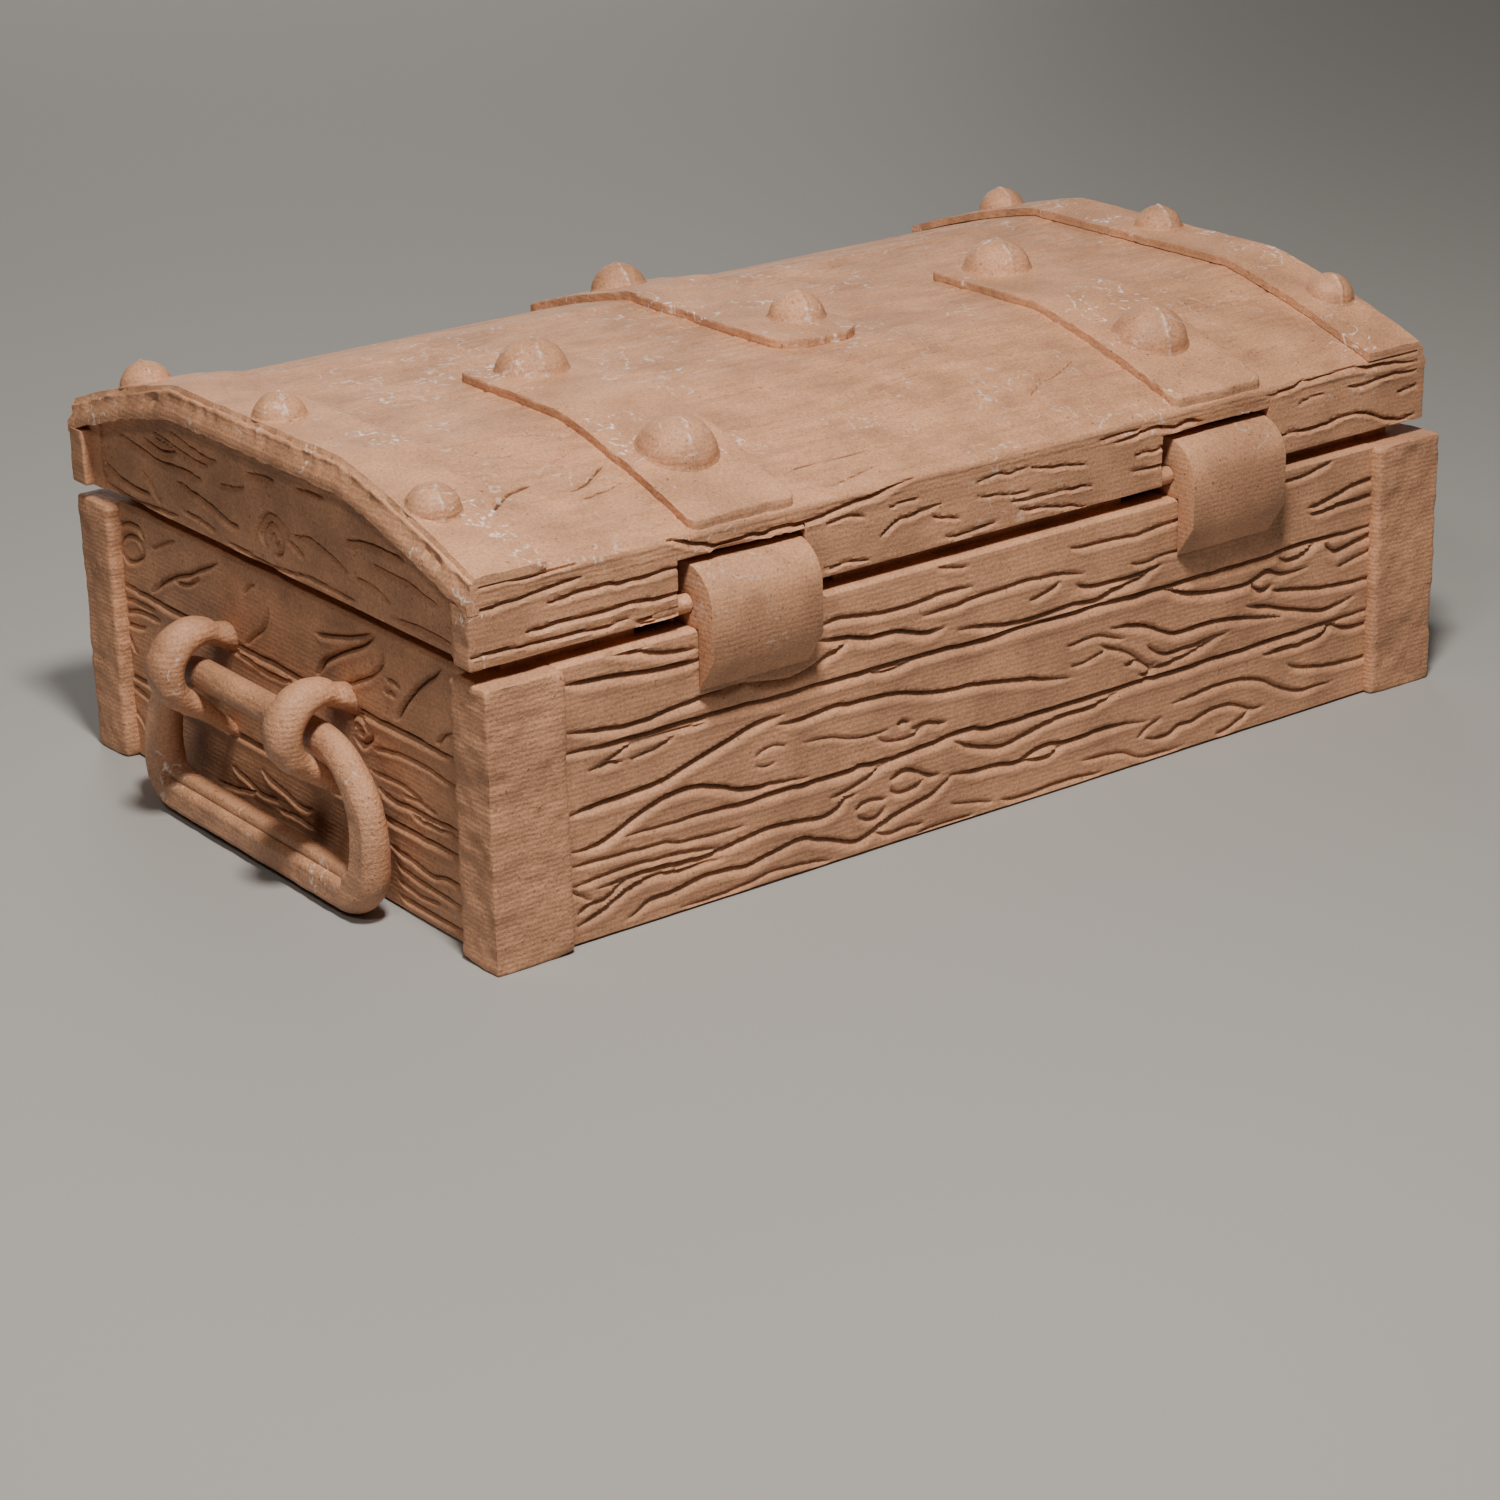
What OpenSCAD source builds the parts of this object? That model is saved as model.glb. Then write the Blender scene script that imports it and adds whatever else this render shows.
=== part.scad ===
// Small treasure chest with a low domed lid, riveted bands, barrel hinges
// and a swinging ring handle on each end.
// X runs along the chest, the hinges are at the back on the +Y side, and Z is up.
// The origin is the middle of the footprint, at the level the chest stands on.

/* [Box] */
// Length of the box over its corner posts
chest_length = 80; // [70:1:130]
// Depth of the box over its corner posts
chest_depth = 50.5; // [44:0.1:80]
// Height of the box from the ground to its rim
box_height = 18.3; // [17:0.1:34]
// Thickness of the four wall boards
board_t = 2.9; // [2.2:0.1:4]
// Thickness of the floor board
floor_t = 2; // [1:0.1:4]
// Width of a corner post on the long sides
post_long = 6; // [5:0.1:9]
// Width of a corner post on the ends
post_end = 4.2; // [3.4:0.1:7]
// How far the posts stand out from the long boards
post_proud = 0.7; // [0.4:0.1:1.2]
// How far the posts stand out from the end boards
post_proud_end = 1; // [0.4:0.1:1.6]
// Radius of the worn inner edges of the posts
post_edge_r = 0.6; // [0.2:0.1:0.9]
// Thickness of the lip inside the rim, which the lid rests on
lip_t = 1; // [0.8:0.1:1.4]

/* [Lid] */
// Height of the dark gap between the rim and the lid
lid_gap = 0.9; // [0.8:0.1:1.6]
// How far the lid's long sides sit inside the posts' faces
lid_inset_side = 0.55; // [0.4:0.05:1.2]
// How far the lid's ends sit inside the posts' faces
lid_inset_end = 0.25; // [0.1:0.05:1]
// Thickness of the lid's long rails
rail_t = 3.2; // [2.6:0.1:4]
// Height of the lid's sides, from their lower edge to the eaves
lid_side_h = 5.1; // [4.6:0.1:12]
// Small chamfer along the lid's lower outer edge
lid_edge = 0.3; // [0.1:0.1:0.6]
// Thickness of the lid's end panels
gable_t = 3; // [2.2:0.1:4]
// How far the lid's middle lies in front of the box's middle
lid_set = 0.5; // [0:0.05:0.6]
// Where the loose lid lies along its pins, taken up towards the right end
lid_shift = 0.45; // [0:0.05:0.45]

/* [Roof] */
// Rise of the lid's flat top above the eaves
roof_rise = 4.05; // [2:0.05:8]
// Half the width of the flat top
roof_flat = 10.3; // [6:0.1:14]
// How far each slope bulges above a straight line
roof_bulge = 0.3; // [0:0.05:0.8]
// Thickness of the roof boards
roof_t = 1.3; // [1:0.1:2.4]

/* [Bands and straps] */
// Thickness of the bands and straps on the roof
band_t = 0.6; // [0.4:0.05:1.2]
// Width of the end bands on the roof
band_w = 5.8; // [4.8:0.1:9]
// Thickness of the end bands over the lid's ends
band_end_t = 0.9; // [0.5:0.05:1.6]
// Height of the band's border on the lid's ends
border_h = 1.7; // [1.4:0.1:4]
// Width of the border's legs at the lid's corners
leg_w = 2; // [1.4:0.1:3]
// Width of the hinge straps
strap_w = 8.2; // [6:0.1:9]
// Width of the front strap
front_strap_w = 7.3; // [6:0.1:9]
// How far the hinge straps lie to the left of the lid's notches
strap_set = 0.4; // [0:0.05:0.6]
// Distance of the straps' lower ends from the eaves
strap_back = 0.2; // [0.1:0.05:2]
// How far the hinge straps reach past the middle of the roof
hinge_strap_over = 1.0; // [0:0.1:4]
// How far the front strap reaches past the middle of the roof
front_strap_over = 8.0; // [6:0.1:10]
// Place of the front strap along the lid
front_strap_x = -0.2; // [-3:0.1:3]
// Radius of the hinge straps' corners
strap_corner_r = 0.8; // [0.3:0.1:3]
// Radius of the front strap's rounded corners
front_corner_r = 2.8; // [1:0.1:3]

/* [Rivets] */
// Radius of the upper rivets of the hinge straps
hinge_rivet_r = 2.55; // [1.5:0.05:2.8]
// Radius of the lower rivets of the hinge straps
low_rivet_r = 2.7; // [1.5:0.05:3]
// Radius of the rivets on the front strap
front_rivet_r = 2.1; // [1.5:0.05:2.6]
// Radius of the rivets on the end bands
band_rivet_r = 1.85; // [1.2:0.05:2.2]
// Height of a rivet's dome as a share of its radius
dome_share = 0.84; // [0.6:0.02:0.98]
// Distance from the lid's end to the middle of the bands' rivets
band_rivet_in = 2.5; // [2.2:0.1:4]
// Distance from the eaves to the outer rivets of the bands
band_rivet_low = 7.1; // [4:0.1:10]
// Distance from the eaves to the lower rivets of the hinge straps
hinge_rivet_low = 7.1; // [4:0.1:10]
// Distance from the hinge straps' upper ends to their upper rivets
hinge_rivet_high = 2.7; // [2.6:0.1:6]
// Distance from the eaves to the front strap's lower rivet
front_rivet_low = 8.3; // [4:0.1:10]
// Distance from the front strap's upper end to its upper rivet
front_rivet_high = 5.4; // [2.6:0.1:6]
// How far that upper rivet lies to the left of the front strap's middle
front_rivet_set = 1.4; // [0:0.1:1.5]

/* [Hinges] */
// Distance from the end of the box to the middle of each hinge
hinge_in = 20.2; // [15:0.1:25]
// Width of a hinge bracket
bracket_w = 8.5; // [6:0.1:10]
// How far the brackets stand out from the back board
bracket_proud = 1.5; // [1.3:0.05:1.8]
// Radius of a bracket's rounded barrel
barrel_r = 2.6; // [2.4:0.05:2.7]
// Height of the hinge axis above the rim
axis_rise = 1.45; // [1.4:0.05:1.6]
// Length of a bracket's straight front below the axis
bracket_front_h = 3.15; // [2:0.05:4]
// Height of the chamfer at a bracket's lower tip
bracket_tip_h = 2.25; // [1:0.05:3]
// Radius of the hinge pins
pin_r = 0.6; // [0.45:0.05:0.65]
// Radius of the lid's knuckles round the pins
knuckle_r = 1.05; // [0.95:0.05:1.15]
// Length of each knuckle
knuckle_l = 2.4; // [1.6:0.1:4]
// Depth to which a pin enters each knuckle
pin_seat = 2; // [1.2:0.1:3]

/* [Handles] */
// Sideways place of the handles on the ends
handle_y = 0.3; // [-2:0.1:2]
// Distance from the middle of a handle to each eye
eye_spacing = 7.4; // [5:0.1:9]
// Distance from the end board to the middle of the eyes' holes
eye_reach = 1.9; // [1.7:0.05:3]
// Height of the middle of the eyes' holes
eye_z = 10.95; // [10:0.05:14]
// Radius of the eyes' holes
eye_hole_r = 1.6; // [1.4:0.05:2]
// Thickness of an eye at its root on the board
eye_root_t = 1.6; // [1.2:0.1:2]
// Greatest thickness of an eye, at the outside of its curl
eye_thick = 2.5; // [2:0.1:3]
// Thickness of an eye's tapered foot
eye_foot_t = 1.7; // [1.2:0.1:2]
// Greatest width of an eye along the chest's end
eye_w = 2.9; // [2:0.1:4]
// Radius of the handle's top bar, which turns in the eyes
bar_r = 1.05; // [0.8:0.05:1.2]
// Half the thickness of the handle's lower bar
grip_r = 1.5; // [1.1:0.05:1.6]
// Half the width of the handle, to the middle of its arms
bail_half_w = 13.0; // [12:0.1:16]
// Drop from the top bar to the middle of the lower bar
bail_drop = 9.0; // [8.4:0.05:9]
// How far the hanging handle is swung out, in degrees
bail_swing = 3.5; // [0:0.5:8]
// Radius of the handle's upper corners
bail_top_r = 5.8; // [4:0.1:6]
// Radius of the handle's lower corners
bail_low_r = 2.3; // [2:0.1:3]

/* [Clearances] */
// Room between a pin and the bore of its bracket
bore_clear = 0.05; // [0.03:0.01:0.09]
// Room between a pin and its seats in the lid
seat_clear = 0.02; // [0.01:0.01:0.05]
// Room beside a bracket in the lid's notch, on each side, with the lid centred
notch_side = 0.5; // [0.5:0.05:0.8]
// Extra width of the notch above the knuckles, on each side
notch_flare = 0.1; // [0:0.05:0.6]
// Room above a bracket in the lid's notch
notch_top = 0.35; // [0.3:0.05:0.5]
// Room under the handle's bar where it hangs in the eyes
hang_clear = 0.12; // [0.1:0.02:0.3]

/* [Hidden] */
SIDES = ["left", "right"];
ENDS = ["front", "back"];
BAND_RIVETS = ["front", "top", "back"];
STRAP_RIVETS = ["lower", "upper"];

BOARD_TAN = [0.66, 0.50, 0.39];
POST_TAN = [0.70, 0.54, 0.42];
ROOF_TAN = [0.76, 0.60, 0.47];
BAND_TAN = [0.80, 0.64, 0.50];
RIVET_TAN = [0.84, 0.68, 0.54];
METAL_TAN = [0.72, 0.55, 0.42];

half_l = chest_length / 2;
half_d = chest_depth / 2;
long_face = half_d - post_proud;
end_face = half_l - post_proud_end;
inner_y = long_face - board_t;
inner_x = end_face - board_t;
board_end_x = half_l - post_long;
board_end_y = half_d - post_end;

lid_z = box_height + lid_gap;
lid_half_l = half_l - lid_inset_end;
lid_half_d = half_d - lid_inset_side;
lid_core_l = lid_half_l - band_end_t;
rail_inner = lid_half_d - rail_t;
eave_z = lid_z + lid_side_h;
crown_z = eave_z + roof_rise;
slope_steps = 10;
slope_bends = [for (i = [0 : slope_steps]) mix(roof_flat, lid_half_d, i / slope_steps)];
roof_bends = concat([for (i = [slope_steps : -1 : 0]) -slope_bends[i]], slope_bends);
roof_line = [for (y = roof_bends) [y, roof_curve(y)]];

hinge_x = half_l - hinge_in;
axis_y = long_face + bracket_proud - barrel_r;
axis_z = box_height + axis_rise;
notch_half = bracket_w / 2 + notch_side;
notch_z = axis_z + barrel_r + notch_top;
lip_gap_half = notch_half + knuckle_l + lip_t / 2;

bar_x = end_face + eye_reach;
bar_z = eye_z - (eye_hole_r - bar_r - hang_clear);
eye_steps = 10;
eye_sides = 14;
eye_root_angle = 110;
eye_foot_angle = -50;
bail_steps = 6;
bail_sides = 16;
bail_inset = 0.06;
cut = 1;

function side_sign(i) = i == 0 ? -1 : 1;
function mix(a, b, t) = a + (b - a) * t;
function strap_x(i) = side_sign(i) * hinge_x - strap_set;

// The roof's curve: flat in the middle, then a slightly bulged slope down to each eave
function slope_share(y) = max(0, (abs(y) - roof_flat) / (lid_half_d - roof_flat));
function roof_curve(y) = let(t = slope_share(y))
    crown_z - roof_rise * t + 4 * roof_bulge * t * (1 - t);
// Height of the roof's upper surface, without bands, at a place across the lid
function roof_z(y) = lookup(y, roof_line);
// Slope of the roof there, in degrees
function roof_tilt(y) = let(t = slope_share(y)) t == 0 ? 0
    : sign(y) * atan((roof_rise - 4 * roof_bulge * (1 - 2 * t)) / (lid_half_d - roof_flat));
// The roof's surface from one place across it to another, moved up by lift
function roof_edge(y0, y1, lift) =
    [for (y = concat([y0], [for (b = roof_bends) if (b > y0 && b < y1) b], [y1]))
        [y, roof_z(y) + lift]];
function reversed(v) = [for (i = [len(v) - 1 : -1 : 0]) v[i]];

// A strip that follows the roof, from lift above its surface down by drop
module roof_strip(y0, y1, lift, drop) {
    polygon(concat(roof_edge(y0, y1, lift), reversed(roof_edge(y0, y1, lift - drop))));
}

// Carry a piece of the lid, drawn about the middle, to where the lid lies
module on_lid() {
    translate([lid_shift, -lid_set, 0]) children();
}

// Raise a profile drawn across the chest, as Y and Z, into a length along X
module along_x(x0, x1) {
    translate([x0, 0, 0])
        rotate([90, 0, 90])
            linear_extrude(x1 - x0) children();
}

module box_between(low, high) {
    translate(low) cube(high - low);
}

// The floor fills the box up to the boards and posts
module floor_board() {
    short_x = min(inner_x, board_end_x);
    short_y = min(inner_y, board_end_y);
    color(BOARD_TAN) {
        box_between([-short_x, -inner_y, 0], [short_x, inner_y, floor_t]);
        box_between([-inner_x, -short_y, 0], [inner_x, short_y, floor_t]);
    }
}

module front_board() {
    color(BOARD_TAN) {
        box_between([-board_end_x, -long_face, 0], [board_end_x, -inner_y, box_height]);
        box_between([-board_end_x, -inner_y - lip_t, box_height],
                    [board_end_x, -inner_y, lid_z]);
    }
}

// The lip stops either side of each hinge
module back_board() {
    color(BOARD_TAN) {
        box_between([-board_end_x, inner_y, 0], [board_end_x, long_face, box_height]);
        difference() {
            box_between([-board_end_x, inner_y, box_height],
                        [board_end_x, inner_y + lip_t, lid_z]);
            for (i = [0, 1])
                translate([side_sign(i) * hinge_x, 0, 0])
                    box_between([-lip_gap_half, inner_y - cut, box_height],
                                [lip_gap_half, long_face, lid_z + cut]);
        }
    }
}

module end_board(i) {
    color(BOARD_TAN)
        mirror([1 - i, 0, 0]) {
            box_between([inner_x, -board_end_y, 0], [end_face, board_end_y, box_height]);
            box_between([inner_x, -board_end_y, box_height],
                        [inner_x + lip_t, board_end_y, lid_z]);
        }
}

// An upright with two worn inner edges, and its corner of the lip
module corner_post(i, j) {
    color(POST_TAN)
        mirror([1 - i, 0, 0]) mirror([0, 1 - j, 0]) {
            linear_extrude(box_height) difference() {
                translate([board_end_x, board_end_y]) square([post_long, post_end]);
                translate([board_end_x, half_d]) worn_edge();
                translate([half_l, board_end_y]) mirror([1, 0]) mirror([0, 1]) worn_edge();
            }
            box_between([board_end_x, min(board_end_y, inner_y), box_height],
                        [inner_x + lip_t, inner_y + lip_t, lid_z]);
        }
}

// What wear takes off a square edge, with the edge at the origin
module worn_edge() {
    r = min(post_edge_r, post_proud);
    translate([0, -r]) difference() {
        translate([-cut, 0]) square([r + cut, r + cut]);
        translate([r, 0]) circle(r, $fn = 32);
    }
}

// Bracket on the back board: a plate with a chamfered tip under a bored barrel
module hinge_bracket(i) {
    front = long_face + bracket_proud;
    tip = axis_z - bracket_front_h - bracket_tip_h;
    color(METAL_TAN)
        difference() {
            along_x(side_sign(i) * hinge_x - bracket_w / 2, side_sign(i) * hinge_x + bracket_w / 2) {
                polygon([[long_face, tip], [front, axis_z - bracket_front_h], [front, axis_z],
                         [inner_y, axis_z], [inner_y, box_height], [long_face, box_height]]);
                intersection() {
                    translate([axis_y, axis_z]) circle(barrel_r, $fn = 96);
                    translate([inner_y, axis_z]) square([2 * barrel_r, barrel_r + cut]);
                }
            }
            pin_rod(i, bracket_w / 2 + cut, pin_r + bore_clear, 0);
        }
}

// A rod on the hinge axis, for the pins and for their bores
module pin_rod(i, half, radius, shift) {
    translate([side_sign(i) * hinge_x + shift - half, axis_y, axis_z])
        rotate([0, 90, 0]) cylinder(r = radius, h = 2 * half, $fn = 48);
}

module hinge_pin(i) {
    color(METAL_TAN)
        pin_rod(i, notch_half + pin_seat, pin_r, lid_shift);
}

module lid_front_rail() {
    color(BOARD_TAN)
        on_lid() mirror([0, 1, 0]) rail_blank();
}

module rail_blank() {
    along_x(-lid_core_l, lid_core_l)
        polygon(concat([[rail_inner, lid_z], [lid_half_d - lid_edge, lid_z],
                        [lid_half_d, lid_z + lid_edge]],
                       reversed(roof_edge(rail_inner, lid_half_d, -roof_t))));
}

// The back rail is notched round each bracket and has a knuckle on both sides of it
module lid_back_rail() {
    color(BOARD_TAN)
        difference() {
            union() {
                on_lid() difference() {
                    rail_blank();
                    for (i = [0, 1])
                        translate([side_sign(i) * hinge_x, 0, 0]) {
                            box_between([-notch_half, rail_inner - cut, lid_z - cut],
                                        [notch_half, lid_half_d + cut, notch_z]);
                            box_between([-notch_half - notch_flare, rail_inner - cut,
                                         axis_z + knuckle_r],
                                        [notch_half + notch_flare, lid_half_d + cut, notch_z]);
                        }
                }
                for (i = [0, 1])
                    difference() {
                        pin_rod(i, notch_half + knuckle_l, knuckle_r, lid_shift);
                        pin_rod(i, notch_half, knuckle_r + cut, lid_shift);
                    }
            }
            for (i = [0, 1])
                pin_rod(i, notch_half + pin_seat + seat_clear, pin_r + seat_clear, lid_shift);
        }
}

module lid_end_panel(i) {
    color(BOARD_TAN)
        on_lid() mirror([1 - i, 0, 0]) along_x(lid_core_l - gable_t, lid_core_l)
            polygon(concat([[-rail_inner, lid_z], [rail_inner, lid_z]],
                           reversed(roof_edge(-rail_inner, rail_inner, -roof_t))));
}

module roof_board(y0, y1) {
    color(ROOF_TAN)
        on_lid() along_x(-lid_core_l, lid_core_l) roof_strip(y0, y1, 0, roof_t);
}

module lid_front_board() {
    roof_board(-lid_half_d, -roof_flat);
}

module lid_top_board() {
    roof_board(-roof_flat, roof_flat);
}

module lid_back_board() {
    roof_board(roof_flat, lid_half_d);
}

// A band over the roof, turned down over the lid's end as a border with two legs
module end_band(i) {
    color(BAND_TAN)
        on_lid() mirror([1 - i, 0, 0]) {
            along_x(lid_half_l - band_w, lid_core_l)
                roof_strip(-lid_half_d, lid_half_d, band_t, band_t);
            along_x(lid_core_l, lid_half_l) {
                roof_strip(-lid_half_d, lid_half_d, band_t, border_h + band_t);
                for (m = [0, 1])
                    mirror([m, 0])
                        polygon([[lid_half_d - leg_w, lid_z], [lid_half_d - lid_edge, lid_z],
                                 [lid_half_d, lid_z + lid_edge], [lid_half_d, roof_z(lid_half_d)],
                                 [lid_half_d - leg_w, roof_z(lid_half_d - leg_w)]]);
            }
        }
}

// A strap that follows the roof from one place across it to another, with rounded corners
module strap(x, w, y0, y1, r) {
    color(BAND_TAN)
        on_lid() translate([x, 0, 0])
            intersection() {
                along_x(-w / 2, w / 2) roof_strip(y0, y1, band_t, band_t);
                translate([0, 0, eave_z - cut])
                    linear_extrude(roof_rise + band_t + 2 * cut)
                        rounded_plan(w, y0, y1, r);
            }
}

module rounded_plan(w, y0, y1, r) {
    translate([-w / 2 + r, y0]) square([w - 2 * r, y1 - y0]);
    translate([-w / 2, y0 + r]) square([w, y1 - y0 - 2 * r]);
    for (x = [-w / 2 + r, w / 2 - r])
        for (y = [y0 + r, y1 - r])
            translate([x, y]) circle(r, $fn = 48);
}

module hinge_strap(i) {
    strap(strap_x(i), strap_w, -hinge_strap_over, lid_half_d - strap_back, strap_corner_r);
}

module front_strap() {
    strap(front_strap_x, front_strap_w, strap_back - lid_half_d, front_strap_over, front_corner_r);
}

// A domed head, standing square to the roof on a band or strap
module rivet(x, y, r) {
    h = r * dome_share;
    ball = (r * r + h * h) / (2 * h);
    color(RIVET_TAN)
        on_lid() translate([x, y, roof_z(y) + band_t])
            rotate([-roof_tilt(y), 0, 0])
                intersection() {
                    translate([0, 0, h - ball]) sphere(ball, $fn = 64);
                    cylinder(r = 2 * r, h = 2 * r, $fn = 64);
                }
}

module band_rivet(i, k) {
    rivet(side_sign(i) * (lid_half_l - band_rivet_in), (k - 1) * (lid_half_d - band_rivet_low),
          band_rivet_r);
}

module hinge_rivet(i, k) {
    if (k == 0) rivet(strap_x(i), lid_half_d - hinge_rivet_low, low_rivet_r);
    else rivet(strap_x(i), hinge_rivet_high - hinge_strap_over, hinge_rivet_r);
}

module front_rivet(k) {
    if (k == 0) rivet(front_strap_x, front_rivet_low - lid_half_d, front_rivet_r);
    else rivet(front_strap_x - front_rivet_set, front_strap_over - front_rivet_high, front_rivet_r);
}

// A tube of changing section: rings of points, each ring a list that goes round the tube
module loft(rings, closed) {
    n = len(rings);
    m = len(rings[0]);
    last = closed ? n - 1 : n - 2;
    sides = [for (i = [0 : last]) for (j = [0 : m - 1])
        let(a = i * m + j, b = i * m + (j + 1) % m,
            c = ((i + 1) % n) * m + j, d = ((i + 1) % n) * m + (j + 1) % m)
        each [[a, c, b], [b, c, d]]];
    caps = closed ? [] : [[for (j = [0 : m - 1]) j], reversed([for (j = [0 : m - 1]) (n - 1) * m + j])];
    polyhedron([for (r = rings) each r], concat(sides, caps));
}

// One ring of an eye: an ellipse square to the curl, slid along it to the wall at the ends
function eye_ring(angle, a, b, to_wall) = let(
    spine_r = eye_hole_r + a,
    centre = [spine_r * cos(angle), spine_r * sin(angle)],
    out = [cos(angle), sin(angle)],
    along = [sin(angle), -cos(angle)])
    [for (j = [0 : eye_sides - 1]) let(
        t = 360 * j / eye_sides,
        p = centre + out * a * cos(t),
        q = to_wall ? p + along * ((-eye_reach - p[0]) / along[0]) : p)
        [q[0], b * sin(t), q[1]]];

// The eye grows from its root to the outside of the curl and tapers to its foot
function eye_half(t) = t < 0.5 ? mix(eye_root_t, eye_thick, sin(180 * t)) / 2
    : mix(eye_foot_t, eye_thick, sin(180 * t)) / 2;
function eye_width(t) = mix(0.72, 1, sin(180 * t)) * eye_w / 2;

module handle_eye(i, j) {
    rings = [for (k = [-1 : eye_steps + 1]) let(
        t = max(0, min(1, k / eye_steps)),
        angle = mix(eye_root_angle, eye_foot_angle, t))
        eye_ring(angle, eye_half(t), eye_width(t), k < 0 || k > eye_steps)];
    color(METAL_TAN)
        mirror([1 - i, 0, 0])
            translate([end_face + eye_reach, handle_y + side_sign(j) * eye_spacing, eye_z])
                loft(rings, false);
}

// One ring of a handle, at a place and heading in its own plane, Y across and Z down
function bail_ring(p, heading, r) = [for (j = [0 : bail_sides - 1]) let(
    t = 360 * (j + 0.5) / bail_sides,
    side = r * cos(t))
    [r * sin(t), p[0] + side * sin(heading), p[1] + side * cos(heading)]];

// A closed ring: an arm, the lower bar and the other arm, on a round top bar
module bail_loop() {
    top = bail_half_w - bail_top_r;
    low = bail_half_w - bail_low_r;
    rotate([90, 0, 0]) cylinder(r = bar_r, h = 2 * (top + bar_r / 2), center = true, $fn = 64);
    right = [for (k = [0 : bail_steps]) let(a = 90 * k / bail_steps)
        [[top + bail_top_r * sin(a), -bail_top_r * (1 - cos(a))], a,
         mix(bar_r - bail_inset, grip_r, bail_top_r * (1 - cos(a)) / bail_drop)]];
    corner = [for (k = [0 : bail_steps]) let(a = 90 * k / bail_steps)
        [[low + bail_low_r * cos(a), -bail_drop + bail_low_r * (1 - sin(a))], 90 + a, grip_r]];
    half = concat(right, corner);
    other = [for (p = reversed(half)) [[-p[0][0], p[0][1]], 360 - p[1], p[2]]];
    loft([for (s = concat(half, other)) bail_ring(s[0], s[1], s[2])], true);
}

// The handle hangs by its top bar in the two eyes
module handle(i) {
    color(METAL_TAN)
        mirror([1 - i, 0, 0])
            translate([bar_x, handle_y, bar_z])
                rotate([0, -bail_swing, 0])
                    bail_loop();
}

floor_board();
front_board();
back_board();
for (i = [0, 1]) {
    end_board(i);
    hinge_bracket(i);
    hinge_pin(i);
    handle(i);
    lid_end_panel(i);
    end_band(i);
    hinge_strap(i);
    for (j = [0, 1]) {
        corner_post(i, j);
        handle_eye(i, j);
        hinge_rivet(i, j);
    }
    for (k = [0 : 2])
        band_rivet(i, k);
    front_rivet(i);
}
lid_front_rail();
lid_back_rail();
lid_front_board();
lid_top_board();
lid_back_board();
front_strap();
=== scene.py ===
import itertools
import math

import bmesh
import bpy
import numpy as np
from mathutils import Matrix, Vector


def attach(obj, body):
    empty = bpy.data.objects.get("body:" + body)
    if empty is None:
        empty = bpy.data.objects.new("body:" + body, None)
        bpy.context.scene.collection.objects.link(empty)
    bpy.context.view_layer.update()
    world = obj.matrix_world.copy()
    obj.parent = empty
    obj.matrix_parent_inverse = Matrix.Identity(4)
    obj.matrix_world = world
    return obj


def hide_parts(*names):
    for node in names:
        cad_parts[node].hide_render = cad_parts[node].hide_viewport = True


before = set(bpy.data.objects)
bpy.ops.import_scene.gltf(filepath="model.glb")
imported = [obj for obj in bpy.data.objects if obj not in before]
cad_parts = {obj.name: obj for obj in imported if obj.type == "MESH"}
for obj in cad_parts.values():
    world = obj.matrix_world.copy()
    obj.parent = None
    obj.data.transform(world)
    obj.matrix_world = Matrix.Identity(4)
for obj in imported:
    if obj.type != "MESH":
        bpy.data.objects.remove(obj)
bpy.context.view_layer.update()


# The camera
# It stands behind the chest, off its right end, and looks down on the hinges, the lid
# and the right handle, as the photograph does.
camera_data = bpy.data.cameras.new("camera")
camera_data.sensor_width = 36
camera_data.lens = 89.594
camera_data.clip_start = 0.02
camera = bpy.data.objects.new("camera", camera_data)
bpy.context.scene.collection.objects.link(camera)
camera.matrix_world = (Matrix.Translation((0.148747, 0.196889, 0.094438))
                       @ Matrix.Rotation(math.radians(143.305), 4, "Z")
                       @ Matrix.Rotation(math.radians(68.446), 4, "X")
                       @ Matrix.Rotation(math.radians(-1.230), 4, "Z"))
bpy.context.scene.camera = camera


# The studio
# A plain pale floor, a soft light over the near end of the lid, one beside it that reaches
# the end wall, and a weak one for the front.
bpy.ops.mesh.primitive_plane_add(size=4)
floor = bpy.context.object
floor.name = "studio_floor"
floor_paint = bpy.data.materials.new("pale_floor")
floor_paint.use_nodes = True
floor_shader = floor_paint.node_tree.nodes["Principled BSDF"]
floor_shader.inputs["Base Color"].default_value = (0.33, 0.325, 0.315, 1)
floor_shader.inputs["Roughness"].default_value = 0.6
floor.data.materials.append(floor_paint)


def soft_light(name, place, size, watts):
    """A square soft light that faces the chest."""
    data = bpy.data.lights.new(name, "AREA")
    data.size = size
    data.energy = watts
    data.color = (1.0, 0.94, 0.87)
    light = bpy.data.objects.new(name, data)
    bpy.context.scene.collection.objects.link(light)
    light.location = place
    light.rotation_euler = (Vector((0, 0, 0.015)) - light.location).to_track_quat(
        "-Z", "Y").to_euler()


soft_light("key_light", (0.060, 0.096, 0.208), 0.030, 0.68)
soft_light("side_light", (0.215, 0.155, 0.270), 0.040, 0.24)
soft_light("front_light", (-0.25, -0.52, 0.20), 0.35, 0.8)
world = bpy.data.worlds.new("studio_air")
bpy.context.scene.world = world
world.use_nodes = True
world.node_tree.nodes["Background"].inputs["Color"].default_value = (1.0, 0.97, 0.94, 1)
world.node_tree.nodes["Background"].inputs["Strength"].default_value = 0.03


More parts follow.
